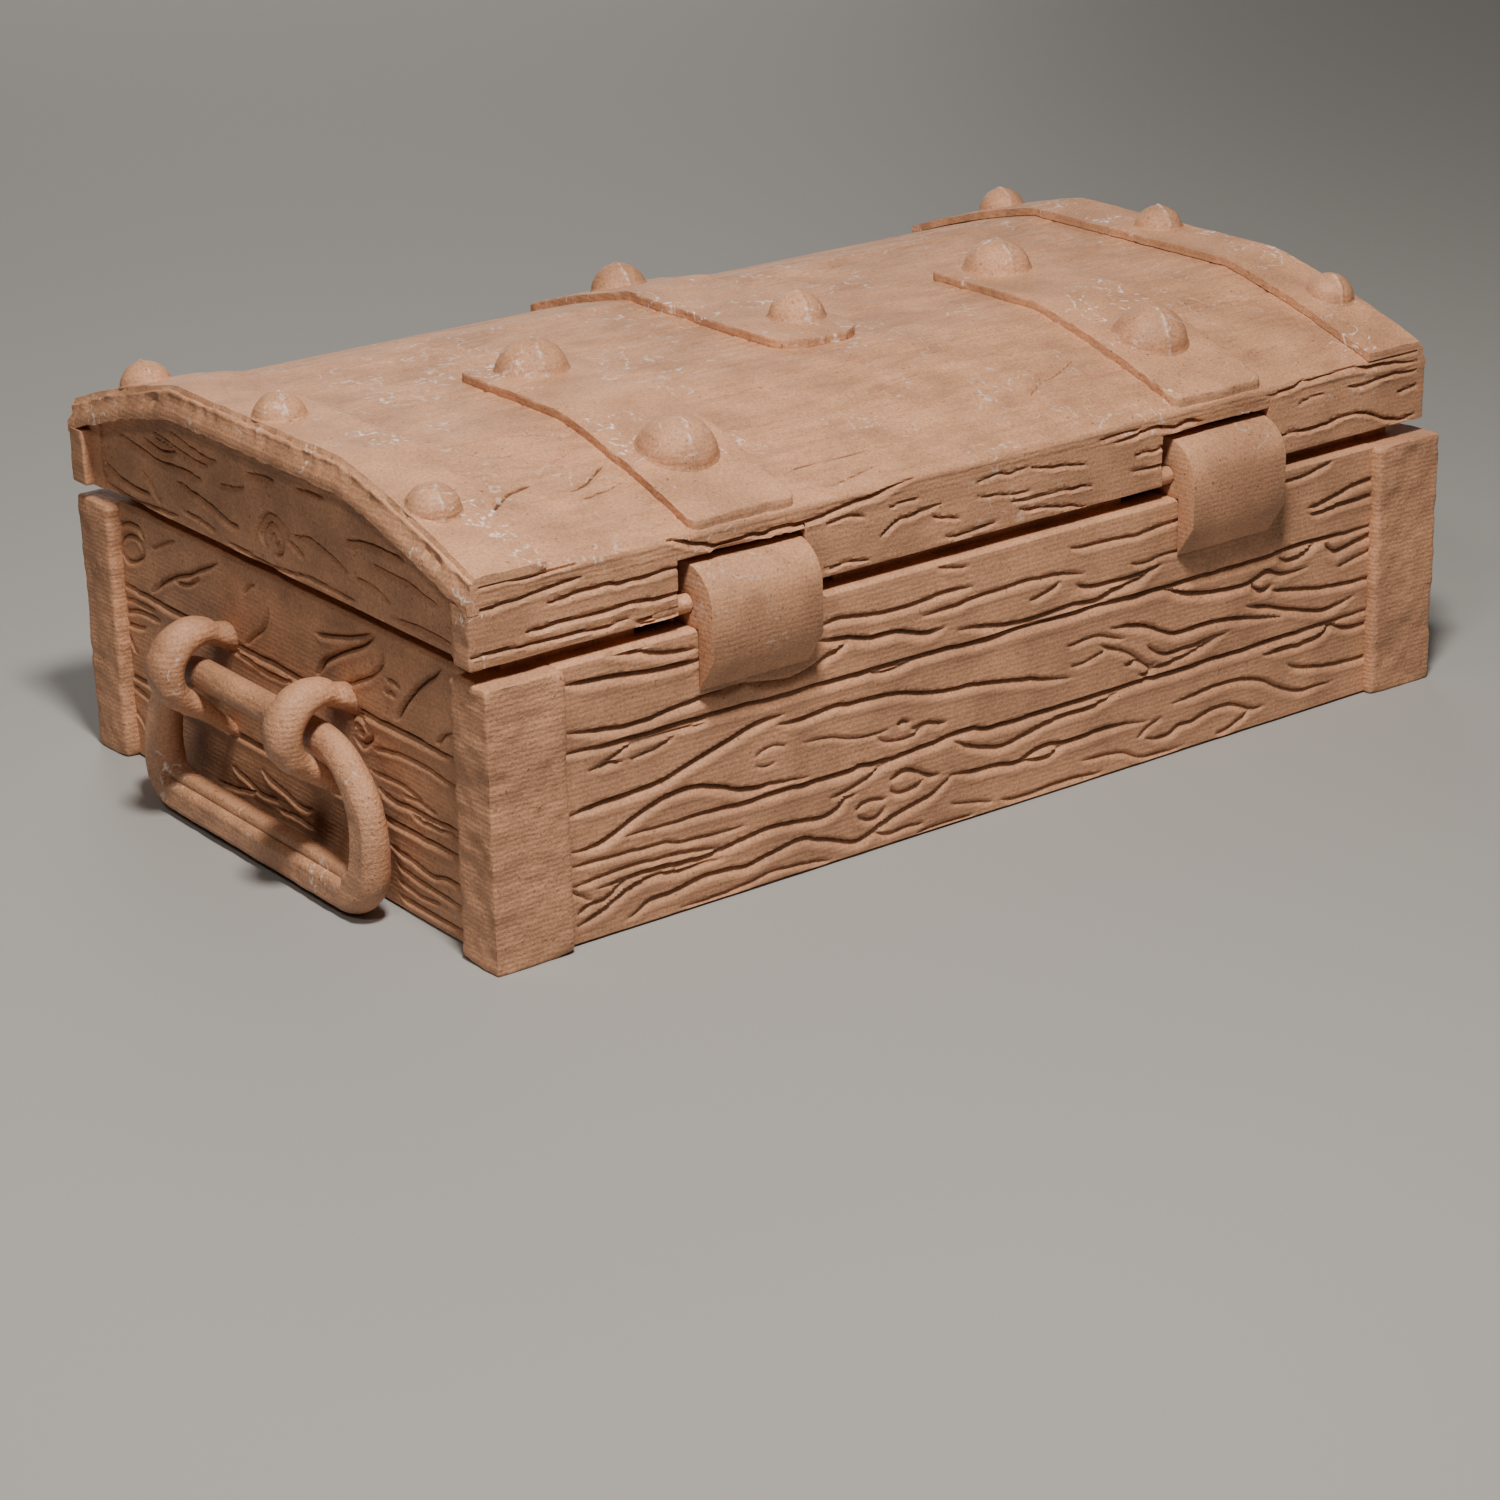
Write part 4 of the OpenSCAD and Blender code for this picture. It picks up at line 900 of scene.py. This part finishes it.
def end_panel(side, seed, strokes):
    """An end panel, carved outside, with its top tucked into the roof."""
    outer = SHIFT + side * LID_L
    inner = outer - side * PANEL_T
    low = (min(outer, inner), -SET - LID_D + PANEL_INSET, LID_Z)
    high = (max(outer, inner), -SET + LID_D - PANEL_INSET, LID_Z + 1)
    panel = block("panel", low, high)
    rule(panel, 1, 4, 66)
    rule(panel, 2, 56, keep=lambda middle: side * (middle.x - outer) > -0.01)
    co = points(panel)
    share = co[:, 2] - LID_Z
    foot = LID_Z + PANEL_LIFT
    co[:, 2] = foot + share * (roof_height(co[:, 1]) - ROOF_T + TUCK - foot)
    out = np.zeros_like(co)
    out[:, 0] = side * (side * (co[:, 0] - outer) > -0.01)
    depth = cuts(co[:, 1], co[:, 2], strokes, soft=0.8)
    swell = 0.10 + 0.04 * lumps(seed, co, (3, 5, 1.5)) + 0.015 * lumps(seed + 1, co, (1, 1, 0.3))
    co = carve(panel, co, out, END_DEEPER * depth, PANEL_CUT, (side, 0, 0))
    set_points(panel, co - out * swell[:, None])
    return panel


finish(end_panel(1, 93, PANEL_STROKES), "carved_end_panel_right",
       carved_wood, "boards", "lid", "lid_end_panel_right")
finish(end_panel(-1, 94, turned(PANEL_STROKES, u_way=-1, u_from=-2 * SET)),
       "carved_end_panel_left", carved_wood, "boards", "lid", "lid_end_panel_left")


# The end bands
# Flat bands over both ends of the roof, turned down over the lid's ends as a border with a
# leg at each corner. Their edges are hammered and worn, and painted glints speckle them.
BAND_W, BAND_T, BAND_END_T, BORDER_H = 5.8, 0.6, 0.9, 1.7
LEG_W, LEG_TOP, LEG_PARTS, WORN_IN = 2.0, EAVE - 1.2, (5, 12, 22), 0.6
band_metal = printed_plastic("worn_band_plastic", TAN, glint=0.8, layers=0.2, grit=0.6)


def face_out(piece):
    """Turns all faces of a closed piece outward."""
    bpy.context.view_layer.objects.active = piece
    bpy.ops.object.mode_set(mode="EDIT")
    bpy.ops.mesh.select_all(action="SELECT")
    bpy.ops.mesh.normals_make_consistent(inside=False)
    bpy.ops.object.mode_set(mode="OBJECT")


def pick_faces(piece, keep):
    """Selects the faces that keep picks, in edit mode."""
    bpy.ops.object.mode_set(mode="EDIT")
    bpy.ops.mesh.select_mode(type="FACE")
    bpy.ops.mesh.select_all(action="DESELECT")
    mesh = bmesh.from_edit_mesh(piece.data)
    for face in mesh.faces:
        face.select_set(bool(keep(face)))
    bmesh.update_edit_mesh(piece.data)


def band_blank(side, core, outer):
    """The band before it is worn: a border on the lid's end and a flat strip on the roof."""
    low = (min(outer, core), -SET - LID_D, -BORDER_H)
    high = (max(outer, core), -SET + LID_D, BAND_T)
    band = block("band", low, high)
    rule(band, 2, 2)
    co = points(band)
    co[np.abs(co[:, 2] - (BAND_T - BORDER_H) / 2) < 0.01, 2] = 0
    set_points(band, co)
    pick_faces(band, lambda f: side * f.normal.x < -0.9 and f.calc_center_median().z > 0)
    bpy.ops.mesh.extrude_region_move(
        TRANSFORM_OT_translate={"value": (-side * (BAND_W - BAND_END_T), 0, 0)})
    bpy.ops.object.mode_set(mode="OBJECT")
    rule(band, 1, 3, 90)
    rule(band, 2, 4)
    rule(band, 0, 5)
    rule(band, 0, 4, keep=lambda middle: side * (middle.x - core) < 0.01)
    return band


def wear_corner(co, side, outer, seed):
    """Rounds the long corner between the border and the strip, more in some places."""
    edge = 0.22 + 0.09 * lumps(seed, co, (0.9, 0.7, 0.9)) + 0.12 * lumps(seed + 8, co, (3, 2.1, 3))
    edge = np.clip(edge, 0.06, WORN_IN)
    worn = (side * (co[:, 0] - outer) > -0.7) & (co[:, 2] > -WORN_IN)
    across = np.clip(side * (co[:, 0] - outer) + WORN_IN, 0, WORN_IN)
    up = np.clip(co[:, 2] - BAND_T + WORN_IN, 0, WORN_IN)
    reach = np.hypot(across, up)
    pull = np.where(worn & (reach > edge), edge / np.maximum(reach, 1e-6), 1)
    co[:, 0] = np.where(worn, co[:, 0] - side * across * (1 - pull), co[:, 0])
    co[:, 2] = np.where(worn, co[:, 2] - up * (1 - pull), co[:, 2])


def band_leg(side, back, core, outer, seed):
    """The border's leg at one corner of the lid, with the eave's cuts on its long side."""
    near, far = sorted((-SET + back * LID_D, -SET + back * (LID_D - LEG_W)))
    low, high = [min(outer, core), near, LID_Z], [max(outer, core), far, LEG_TOP]
    leg = block("leg", low, high)
    for axis, parts in enumerate(LEG_PARTS):
        rule(leg, axis, parts)
    co = points(leg)
    radius = 0.2 + 0.12 * lumps(seed, co, (0.8, 0.8, 0.8))
    # Its top and its inner side are covered and stay sharp
    high[2] += 1
    if side > 0:
        low[0] -= 1
    else:
        high[0] += 1
    co, out = wear(co, low, high, np.maximum(radius, 0.08))
    cut, bulge = eave_side(co, back)
    toward = np.clip((back * out[:, 1] - 0.5) * 2, 0, 1)
    rest = 0.04 + 0.04 * lumps(seed + 1, co, (0.9, 0.9, 0.6))
    co -= out * (toward * (bulge + 0.45 * cut) + (1 - toward) * rest)[:, None]
    set_points(leg, co)
    return leg


def end_band(side, seed):
    """A whole band with its two legs, hammered, worn and laid on the roof."""
    core = SHIFT + side * LID_L
    outer = SHIFT + side * (LID_L + BAND_END_T)
    band = band_blank(side, core, outer)
    co = points(band)
    wear_corner(co, side, outer, seed)
    # Dents on top, and a ragged inner edge and lower border
    dent = 0.05 + 0.05 * lumps(seed + 1, co, (1.3, 1.3, 1.3)) + 0.03 * lumps(seed + 2, co, (0.5, 0.5, 0.5))
    on_top = co[:, 2] > BAND_T - 0.15
    co[:, 2] -= np.where(on_top, dent, 0)
    rag = 0.10 * lumps(seed + 3, co, (0.7, 0.6, 5)) + 0.07 * lumps(seed + 4, co, (2.0, 1.7, 5))
    inner_edge = side * (co[:, 0] - outer) < -BAND_W + 0.05
    co[:, 0] += np.where(inner_edge, side * (0.12 + rag), 0)
    below = co[:, 2] < -BORDER_H + 0.05
    co[:, 2] += np.where(below, 0.12 + rag, 0)
    # The eave's cuts on its two ends, and hammer marks and gouges on the lid's end
    for back in (-1, 1):
        cut, bulge = eave_side(co + np.array([0, 0, EAVE]), back)
        at_end = back * (co[:, 1] + SET) > LID_D - 0.01
        co[:, 1] -= np.where(at_end, back * (bulge + 0.4 * cut), 0)
    face = side * (co[:, 0] - outer) > -0.05
    gouge = np.clip(2 * lumps(seed + 9, co, (3, 0.6, 2.5)) - 0.7, 0, 1) * np.clip(co[:, 2] + 1.3, 0, 1)
    hammered = 0.04 + 0.04 * lumps(seed + 5, co, (1, 1.4, 0.6)) + 0.15 * gouge
    co[:, 0] -= np.where(face, side * hammered, 0)
    set_points(band, lie_on_roof(co))
    return join(band, *(band_leg(side, back, core, outer, seed + 6) for back in (-1, 1)))


for side, word in ((1, "right"), (-1, "left")):
    band = end_band(side, 110 + side)
    face_out(band)
    finish(band, "worn_band_" + word, band_metal, "bands", "lid", "end_band_" + word)


# The straps
# Two hinge straps over the back slope and one front strap with a rounded end. They are flat
# strips raised from the roof, with worn edges.
HINGE_STRAP_W, HINGE_STRAP_OVER, STRAP_SET, STRAP_BACK = 8.2, 1.0, 0.4, 0.2
FRONT_STRAP_W, FRONT_STRAP_OVER, FRONT_STRAP_X = 7.3, 8.0, -0.2
HINGE_CORNER_R, FRONT_CORNER_R = 0.8, 2.8
STRAP_SINK, STRAP_STEP = 0.25, 0.4


def strap(name, x, width, start, stop, radius, seed, node):
    """A strap laid over the roof from start to stop, with corners of the given radius."""
    low, high = (x - width / 2, start, -STRAP_SINK), (x + width / 2, stop, BAND_T)
    piece = block(name, low, high)
    rule(piece, 1, 2, round((stop - start) / STRAP_STEP))
    rule(piece, 0, 40)
    rule(piece, 2, 4)
    co = points(piece)
    edge = 0.16 + 0.10 * lumps(seed, co, (1.2, 1.0, 1.2))
    co, out = wear(co, low, high, np.maximum(edge, 0.05))
    rag = 0.07 * lumps(seed + 1, co, (0.7, 0.6, 5)) + 0.08 * lumps(seed + 2, co, (2.2, 2.0, 5))
    sides = (np.abs(out[:, 0]) > 0.3) | (np.abs(out[:, 1]) > 0.3)
    co[:, :2] -= (out[:, :2] * (0.10 + rag)[:, None]) * sides[:, None]
    dent = 0.04 + 0.04 * lumps(seed + 3, co, (1.6, 1.6, 1.6)) + 0.02 * lumps(seed + 4, co, (0.5, 0.5, 0.5))
    co[:, 2] -= dent * (out[:, 2] > 0.5)
    # Near an end the strap narrows to its rounded corners
    to_end = np.minimum(co[:, 1] - start, stop - co[:, 1])
    inside = np.clip(radius - to_end, 0, radius)
    half = width / 2 - radius + np.sqrt(radius ** 2 - inside ** 2)
    co[:, 0] = x + (co[:, 0] - x) * half / (width / 2)
    set_points(piece, lie_on_roof(co))
    return finish(piece, name, band_metal, "bands", "lid", node)


for side, word, seed in ((1, "right", 130), (-1, "left", 140)):
    strap("hinge_strap_worn_" + word, SHIFT + side * HINGE_X - STRAP_SET, HINGE_STRAP_W,
          -HINGE_STRAP_OVER - SET, LID_D - STRAP_BACK - SET, HINGE_CORNER_R, seed,
          "hinge_strap_" + word)
strap("front_strap_worn", SHIFT + FRONT_STRAP_X, FRONT_STRAP_W, STRAP_BACK - LID_D - SET,
      FRONT_STRAP_OVER - SET, FRONT_CORNER_R, 150, "front_strap")


# The rivets
# Twelve domed heads that stand square to the roof on the bands and straps. Each shows the
# seam where the printer began its layers.
BAND_RIVET_R, BAND_RIVET_IN, RIVET_LOW = 1.85, 2.5, 7.1
HINGE_RIVET_LOW_R, HINGE_RIVET_HIGH_R, HINGE_RIVET_HIGH = 2.7, 2.55, 2.7
FRONT_RIVET_R, FRONT_RIVET_LOW, FRONT_RIVET_HIGH, FRONT_RIVET_SET = 2.1, 8.3, 5.4, 1.4
DOME_SHARE, BEAD_W, BEAD_H = 0.84, 0.13, 0.09
SEAM = math.radians(78)
rivet_metal = printed_plastic("rivet_plastic", TAN, glint=0.5, layers=0.2, grit=0.4)


def rivet(name, x, y, radius, seed, node):
    """A domed head at a place on the roof, with a raised seam over the crown."""
    height = radius * DOME_SHARE
    ball = (radius ** 2 + height ** 2) / (2 * height)
    bpy.ops.object.select_all(action="DESELECT")
    bpy.ops.mesh.primitive_uv_sphere_add(segments=96, ring_count=64, radius=ball,
                                         location=(0, 0, height - ball))
    dome = bpy.context.object
    bpy.ops.object.transform_apply(location=True, rotation=False, scale=False)
    bpy.ops.object.mode_set(mode="EDIT")
    bpy.ops.mesh.select_all(action="SELECT")
    bpy.ops.mesh.bisect(plane_co=(0, 0, -0.1), plane_no=(0, 0, 1), use_fill=True,
                        clear_inner=True, clear_outer=False)
    bpy.ops.object.mode_set(mode="OBJECT")
    co = points(dome)
    away = co / np.maximum(np.linalg.norm(co, axis=1, keepdims=True), 1e-6)
    across = -co[:, 0] * math.sin(SEAM) + co[:, 1] * math.cos(SEAM)
    along = co[:, 0] * math.cos(SEAM) + co[:, 1] * math.sin(SEAM)
    wander = 0.12 * lumps(seed, co, (0.8, 0.8, 0.8))
    bead = np.exp(-((across + wander) / BEAD_W) ** 2) * (along > -0.2) * (co[:, 2] > 0)
    rough = 0.03 + 0.03 * lumps(seed + 1, co, (0.7, 0.7, 0.5))
    co -= away * ((rough + BEAD_H * (1 - bead)) * (co[:, 2] > 0))[:, None]
    # Painted highlights: broken glints along the seam bead, which the material whitens
    shine = 0.7 * bead * np.clip(2 * lumps(seed + 2, co, (0.22, 0.22, 0.22)) + 0.4, 0, 1)
    mark_points(dome, "shine", shine)
    # It leans with the roof under it
    tilt = np.arctan2(roof_height(np.array([y + 0.05])) - roof_height(np.array([y - 0.05])), 0.1)[0]
    turn = Matrix.Rotation(tilt, 3, "X")
    co = co @ np.array(turn).T + np.array([x, y, roof_height(np.array([y]))[0] + BAND_T])
    set_points(dome, co)
    return finish(dome, name, rivet_metal, "rivets", "lid", node)


for side, word in ((1, "right"), (-1, "left")):
    for step, place in ((-1, "front"), (0, "top"), (1, "back")):
        rivet("band_dome_%s_%s" % (place, word), SHIFT + side * (LID_L + BAND_END_T - BAND_RIVET_IN),
              step * (LID_D - RIVET_LOW) - SET, BAND_RIVET_R, 200 + 7 * side + step,
              "band_rivet_%s_%s" % (place, word))
    strap_x = SHIFT + side * HINGE_X - STRAP_SET
    rivet("hinge_dome_lower_" + word, strap_x, LID_D - RIVET_LOW - SET, HINGE_RIVET_LOW_R,
          220 + side, "hinge_rivet_lower_" + word)
    rivet("hinge_dome_upper_" + word, strap_x, HINGE_RIVET_HIGH - HINGE_STRAP_OVER - SET,
          HINGE_RIVET_HIGH_R, 230 + side, "hinge_rivet_upper_" + word)
front_x = SHIFT + FRONT_STRAP_X
rivet("front_dome_lower", front_x, FRONT_RIVET_LOW - LID_D - SET, FRONT_RIVET_R, 240,
      "front_rivet_lower")
rivet("front_dome_upper", front_x - FRONT_RIVET_SET, FRONT_STRAP_OVER - FRONT_RIVET_HIGH - SET,
      FRONT_RIVET_R, 241, "front_rivet_upper")


# The hinge brackets and pins
# Plates with a chamfered tip and a rounded barrel, fixed to the back board. The print left
# their edges soft. The pins run through the barrels and keep their plain round shape.
BRACKET_EDGE = 0.14
fitting_metal = printed_plastic("fitting_plastic", TAN, glint=0.25, layers=0.18, grit=0.6)


def softened_copy(node, width):
    """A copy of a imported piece, merged, with its sharp edges bevelled."""
    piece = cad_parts[node].copy()
    piece.data = piece.data.copy()
    piece.parent = None
    bpy.context.scene.collection.objects.link(piece)
    bpy.ops.object.select_all(action="DESELECT")
    piece.select_set(True)
    bpy.context.view_layer.objects.active = piece
    for key in list(piece.keys()):
        del piece[key]
    piece.data.transform(Matrix.Scale(1 / MM, 4))
    bpy.ops.object.mode_set(mode="EDIT")
    bpy.ops.mesh.select_all(action="SELECT")
    bpy.ops.mesh.remove_doubles(threshold=0.001)
    bpy.ops.mesh.dissolve_limited(angle_limit=math.radians(1))
    bpy.ops.object.mode_set(mode="OBJECT")
    bevel = piece.modifiers.new("soft_edges", "BEVEL")
    bevel.width = width
    bevel.segments = 3
    bevel.limit_method = "ANGLE"
    bevel.angle_limit = math.radians(35)
    bpy.ops.object.modifier_apply(modifier=bevel.name)
    return piece


for word in ("left", "right"):
    finish(softened_copy("hinge_bracket_" + word, BRACKET_EDGE), "soft_bracket_" + word,
           fitting_metal, "fittings", "base", "hinge_bracket_" + word, angle=24)
    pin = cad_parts["hinge_pin_" + word]
    pin.data.materials.clear()
    pin.data.materials.append(fitting_metal)


# The handle eyes
# Four curled hooks, two on each end board, thickest at the outside of the curl and tapered to
# the foot. The handle's top bar hangs in them.
EYE_REACH, EYE_Z, EYE_HOLE_R, EYE_SPACING, HANDLE_Y = 1.9, 10.95, 1.6, 7.4, 0.3
EYE_ROOT_T, EYE_THICK, EYE_FOOT_T, EYE_W = 1.6, 2.5, 1.7, 2.9
EYE_SINK, EYE_FRONT = 0.9, 44.84
EYE_FROM, EYE_TO = math.radians(110), math.radians(-50)
eye_metal = printed_plastic("eye_plastic", TAN, glint=0.45, layers=0.32, grit=1.3, rough=0.46)


def tube(name, path, radii, closed=False, sides=20):
    """A round tube of changing thickness along a path, made from a curve."""
    bpy.ops.object.select_all(action="DESELECT")
    curve = bpy.data.curves.new(name, "CURVE")
    curve.dimensions = "3D"
    curve.bevel_depth = 1
    curve.bevel_resolution = sides
    curve.use_fill_caps = not closed
    spline = curve.splines.new("POLY")
    spline.points.add(len(path) - 1)
    spline.use_cyclic_u = closed
    for point, place, radius in zip(spline.points, path, radii):
        point.co = (*place, 1)
        point.radius = radius
    piece = bpy.data.objects.new(name, curve)
    bpy.context.scene.collection.objects.link(piece)
    piece.select_set(True)
    bpy.context.view_layer.objects.active = piece
    bpy.ops.object.convert(target="MESH")
    face_out(piece)
    return piece


def handle_eye(side, back, seed):
    """One eye: a curl round the bar, with a lead from the wall and a foot back to it."""
    # The curl's middle line, as places out from and above the bar's centre
    share = np.linspace(0, 1, 41)
    angle = EYE_FROM + (EYE_TO - EYE_FROM) * share
    base = np.where(share < 0.5, EYE_ROOT_T, EYE_FOOT_T)
    half = (base + (EYE_THICK - base) * np.sin(math.pi * share)) / 2
    spine = EYE_HOLE_R + half
    flat = np.stack([spine * np.cos(angle), spine * np.sin(angle)], axis=1)
    # Straight on to the wall at both ends
    wall = -EYE_REACH - EYE_SINK
    first = flat[0] + (np.array([math.sin(EYE_FROM), -math.cos(EYE_FROM)])
                       * (wall - flat[0][0]) / math.sin(EYE_FROM))
    last = flat[-1] + (np.array([math.sin(EYE_TO), -math.cos(EYE_TO)])
                       * (wall - flat[-1][0]) / math.sin(EYE_TO))
    lead = [first + (flat[0] - first) * t for t in np.linspace(0, 1, 9)[:-1]]
    trail = [flat[-1] + (last - flat[-1]) * t for t in np.linspace(0, 1, 13)[1:]]
    flat = np.vstack([lead, flat, trail])
    radii = np.concatenate([half[0] * np.linspace(1.35, 1, 8), half, half[-1] * np.linspace(1, 0.3, 12)])
    centre = np.array([END_FACE + EYE_REACH, HANDLE_Y + back * EYE_SPACING, EYE_Z])
    path = [(side * (centre[0] + x), centre[1], centre[2] + z) for x, z in flat]
    eye = tube("eye", path, radii)
    co = points(eye)
    # Wider than it is thick, with flattened sides, and the hole stays as it is
    co[:, 1] = centre[1] + (co[:, 1] - centre[1]) * EYE_W / EYE_THICK
    ring = np.stack([co[:, 0] - side * centre[0], co[:, 2] - centre[2]], axis=1)
    reach = np.linalg.norm(ring, axis=1)
    flat_side = np.clip((np.abs(co[:, 1] - centre[1]) - 0.9) / 0.5, 0, 1)
    grow = 0.09 * lumps(seed, co, (1.1, 1.1, 0.6)) - 0.07 - 0.12 * flat_side
    grow *= np.clip((reach - EYE_HOLE_R - 0.2) / 1.0, 0, 1)
    co[:, 0] += ring[:, 0] / reach * grow
    co[:, 2] += ring[:, 1] / reach * grow
    co[:, 0] = side * np.minimum(side * co[:, 0], EYE_FRONT)
    set_points(eye, co)
    return eye


for side, word in ((1, "right"), (-1, "left")):
    for back, place in ((1, "back"), (-1, "front")):
        finish(handle_eye(side, back, 260 + side + back), "curled_eye_%s_%s" % (place, word),
               eye_metal, "fittings", "base", "handle_eye_%s_%s" % (place, word))


# The handles
# Closed rings that swing in the eyes. The top bar is thin and round, and the lower bar is
# thicker, with a crease along it where the print was joined.
BAR_R, GRIP_R, BAR_Z = 1.05, 1.5, 10.52
BAIL_HALF_W, BAIL_DROP, BAIL_TOP_R, BAIL_LOW_R = 13.0, 9.0, 5.8, 2.3
BAIL_SWING = math.radians(3.5)
CREASE_AT, CREASE_DEPTH = math.radians(55), 0.20
FACET_REACH, UNDERSIDE_REACH, OFF_GROUND = 1.12, 1.3, 0.06
handle_metal = printed_plastic("handle_plastic", TAN, glint=0.7, layers=0.3, grit=1.9, rough=0.34)


def ring_handle(side, seed):
    """One handle: a closed ring, drawn hanging from its top bar and then tipped out a little."""
    # Half of the ring as places across and up: bar, arm, corner and grip
    quarter = np.linspace(0, math.pi / 2, 22)
    top, low = BAIL_HALF_W - BAIL_TOP_R, BAIL_HALF_W - BAIL_LOW_R
    arm = [(top + BAIL_TOP_R * math.sin(a), -BAIL_TOP_R * (1 - math.cos(a))) for a in quarter]
    corner = [(low + BAIL_LOW_R * math.cos(a), -BAIL_DROP + BAIL_LOW_R * (1 - math.sin(a)))
              for a in quarter]
    bar = [(y, 0) for y in np.linspace(0, top, 20)[:-1]]
    grip = [(y, -BAIL_DROP) for y in np.linspace(low, 0, 30)[1:-1]]
    half = bar + arm + corner + grip
    flat = np.array(half + [(0, -BAIL_DROP)] + [(-y, z) for y, z in reversed(half[1:])])
    drop = np.clip(-flat[:, 1] / BAIL_DROP, 0, 1)
    radii = BAR_R - 0.02 + (GRIP_R - BAR_R) * drop
    path = [(0.0, y, z) for y, z in flat]
    ring = tube("handle", path, radii, closed=True, sides=30)
    co = points(ring)
    # The outer face grows flatter towards the lower bar
    local = BAR_R + (GRIP_R - BAR_R) * np.clip(-co[:, 2] / BAIL_DROP, 0, 1)
    faceted = np.clip(-co[:, 2] / 3 - 0.3, 0, 1)
    rough = 0.05 * lumps(seed, co, (0.7, 0.9, 0.4)) - 0.05
    co[:, 0] = np.minimum(co[:, 0] * (1 + rough / BAR_R), local * (1 - 0.2 * faceted) + rough)
    # The lower bar has a flat facet above its outer edge and a flat underside
    low_bar = np.clip((-co[:, 2] - BAIL_DROP + 1.5) / 0.4, 0, 1) * (np.abs(co[:, 1]) < low + 0.6)
    tilted = (co[:, 0] + co[:, 2] + BAIL_DROP) / math.sqrt(2)
    over = np.maximum(tilted - FACET_REACH, 0) * low_bar
    co[:, 0] -= over / math.sqrt(2)
    co[:, 2] -= over / math.sqrt(2)
    co[:, 2] = np.maximum(co[:, 2], -BAIL_DROP - UNDERSIDE_REACH + rough)
    # The crease where the print was joined
    angle = np.arctan2(co[:, 2] + BAIL_DROP, co[:, 0])
    crease = np.exp(-((angle - CREASE_AT) / 0.10) ** 2) * low_bar
    co[:, 0] -= CREASE_DEPTH * crease * np.cos(angle)
    co[:, 2] -= CREASE_DEPTH * crease * np.sin(angle)
    # Painted shade: the material darkens the crease by this value
    mark_points(ring, "carved", crease)
    # Tipped out, moved to its place, and kept off the ground
    turn = np.array(Matrix.Rotation(-BAIL_SWING, 3, "Y"))
    co = co @ turn.T + np.array([END_FACE + EYE_REACH, HANDLE_Y, BAR_Z])
    co[:, 0] *= side
    co[:, 2] = np.maximum(co[:, 2], OFF_GROUND)
    set_points(ring, co)
    face_out(ring)
    return ring


for side, word in ((1, "right"), (-1, "left")):
    finish(ring_handle(side, 280 + side), "ring_handle_" + word, handle_metal,
           "fittings", word + "_handle", "handle_" + word)
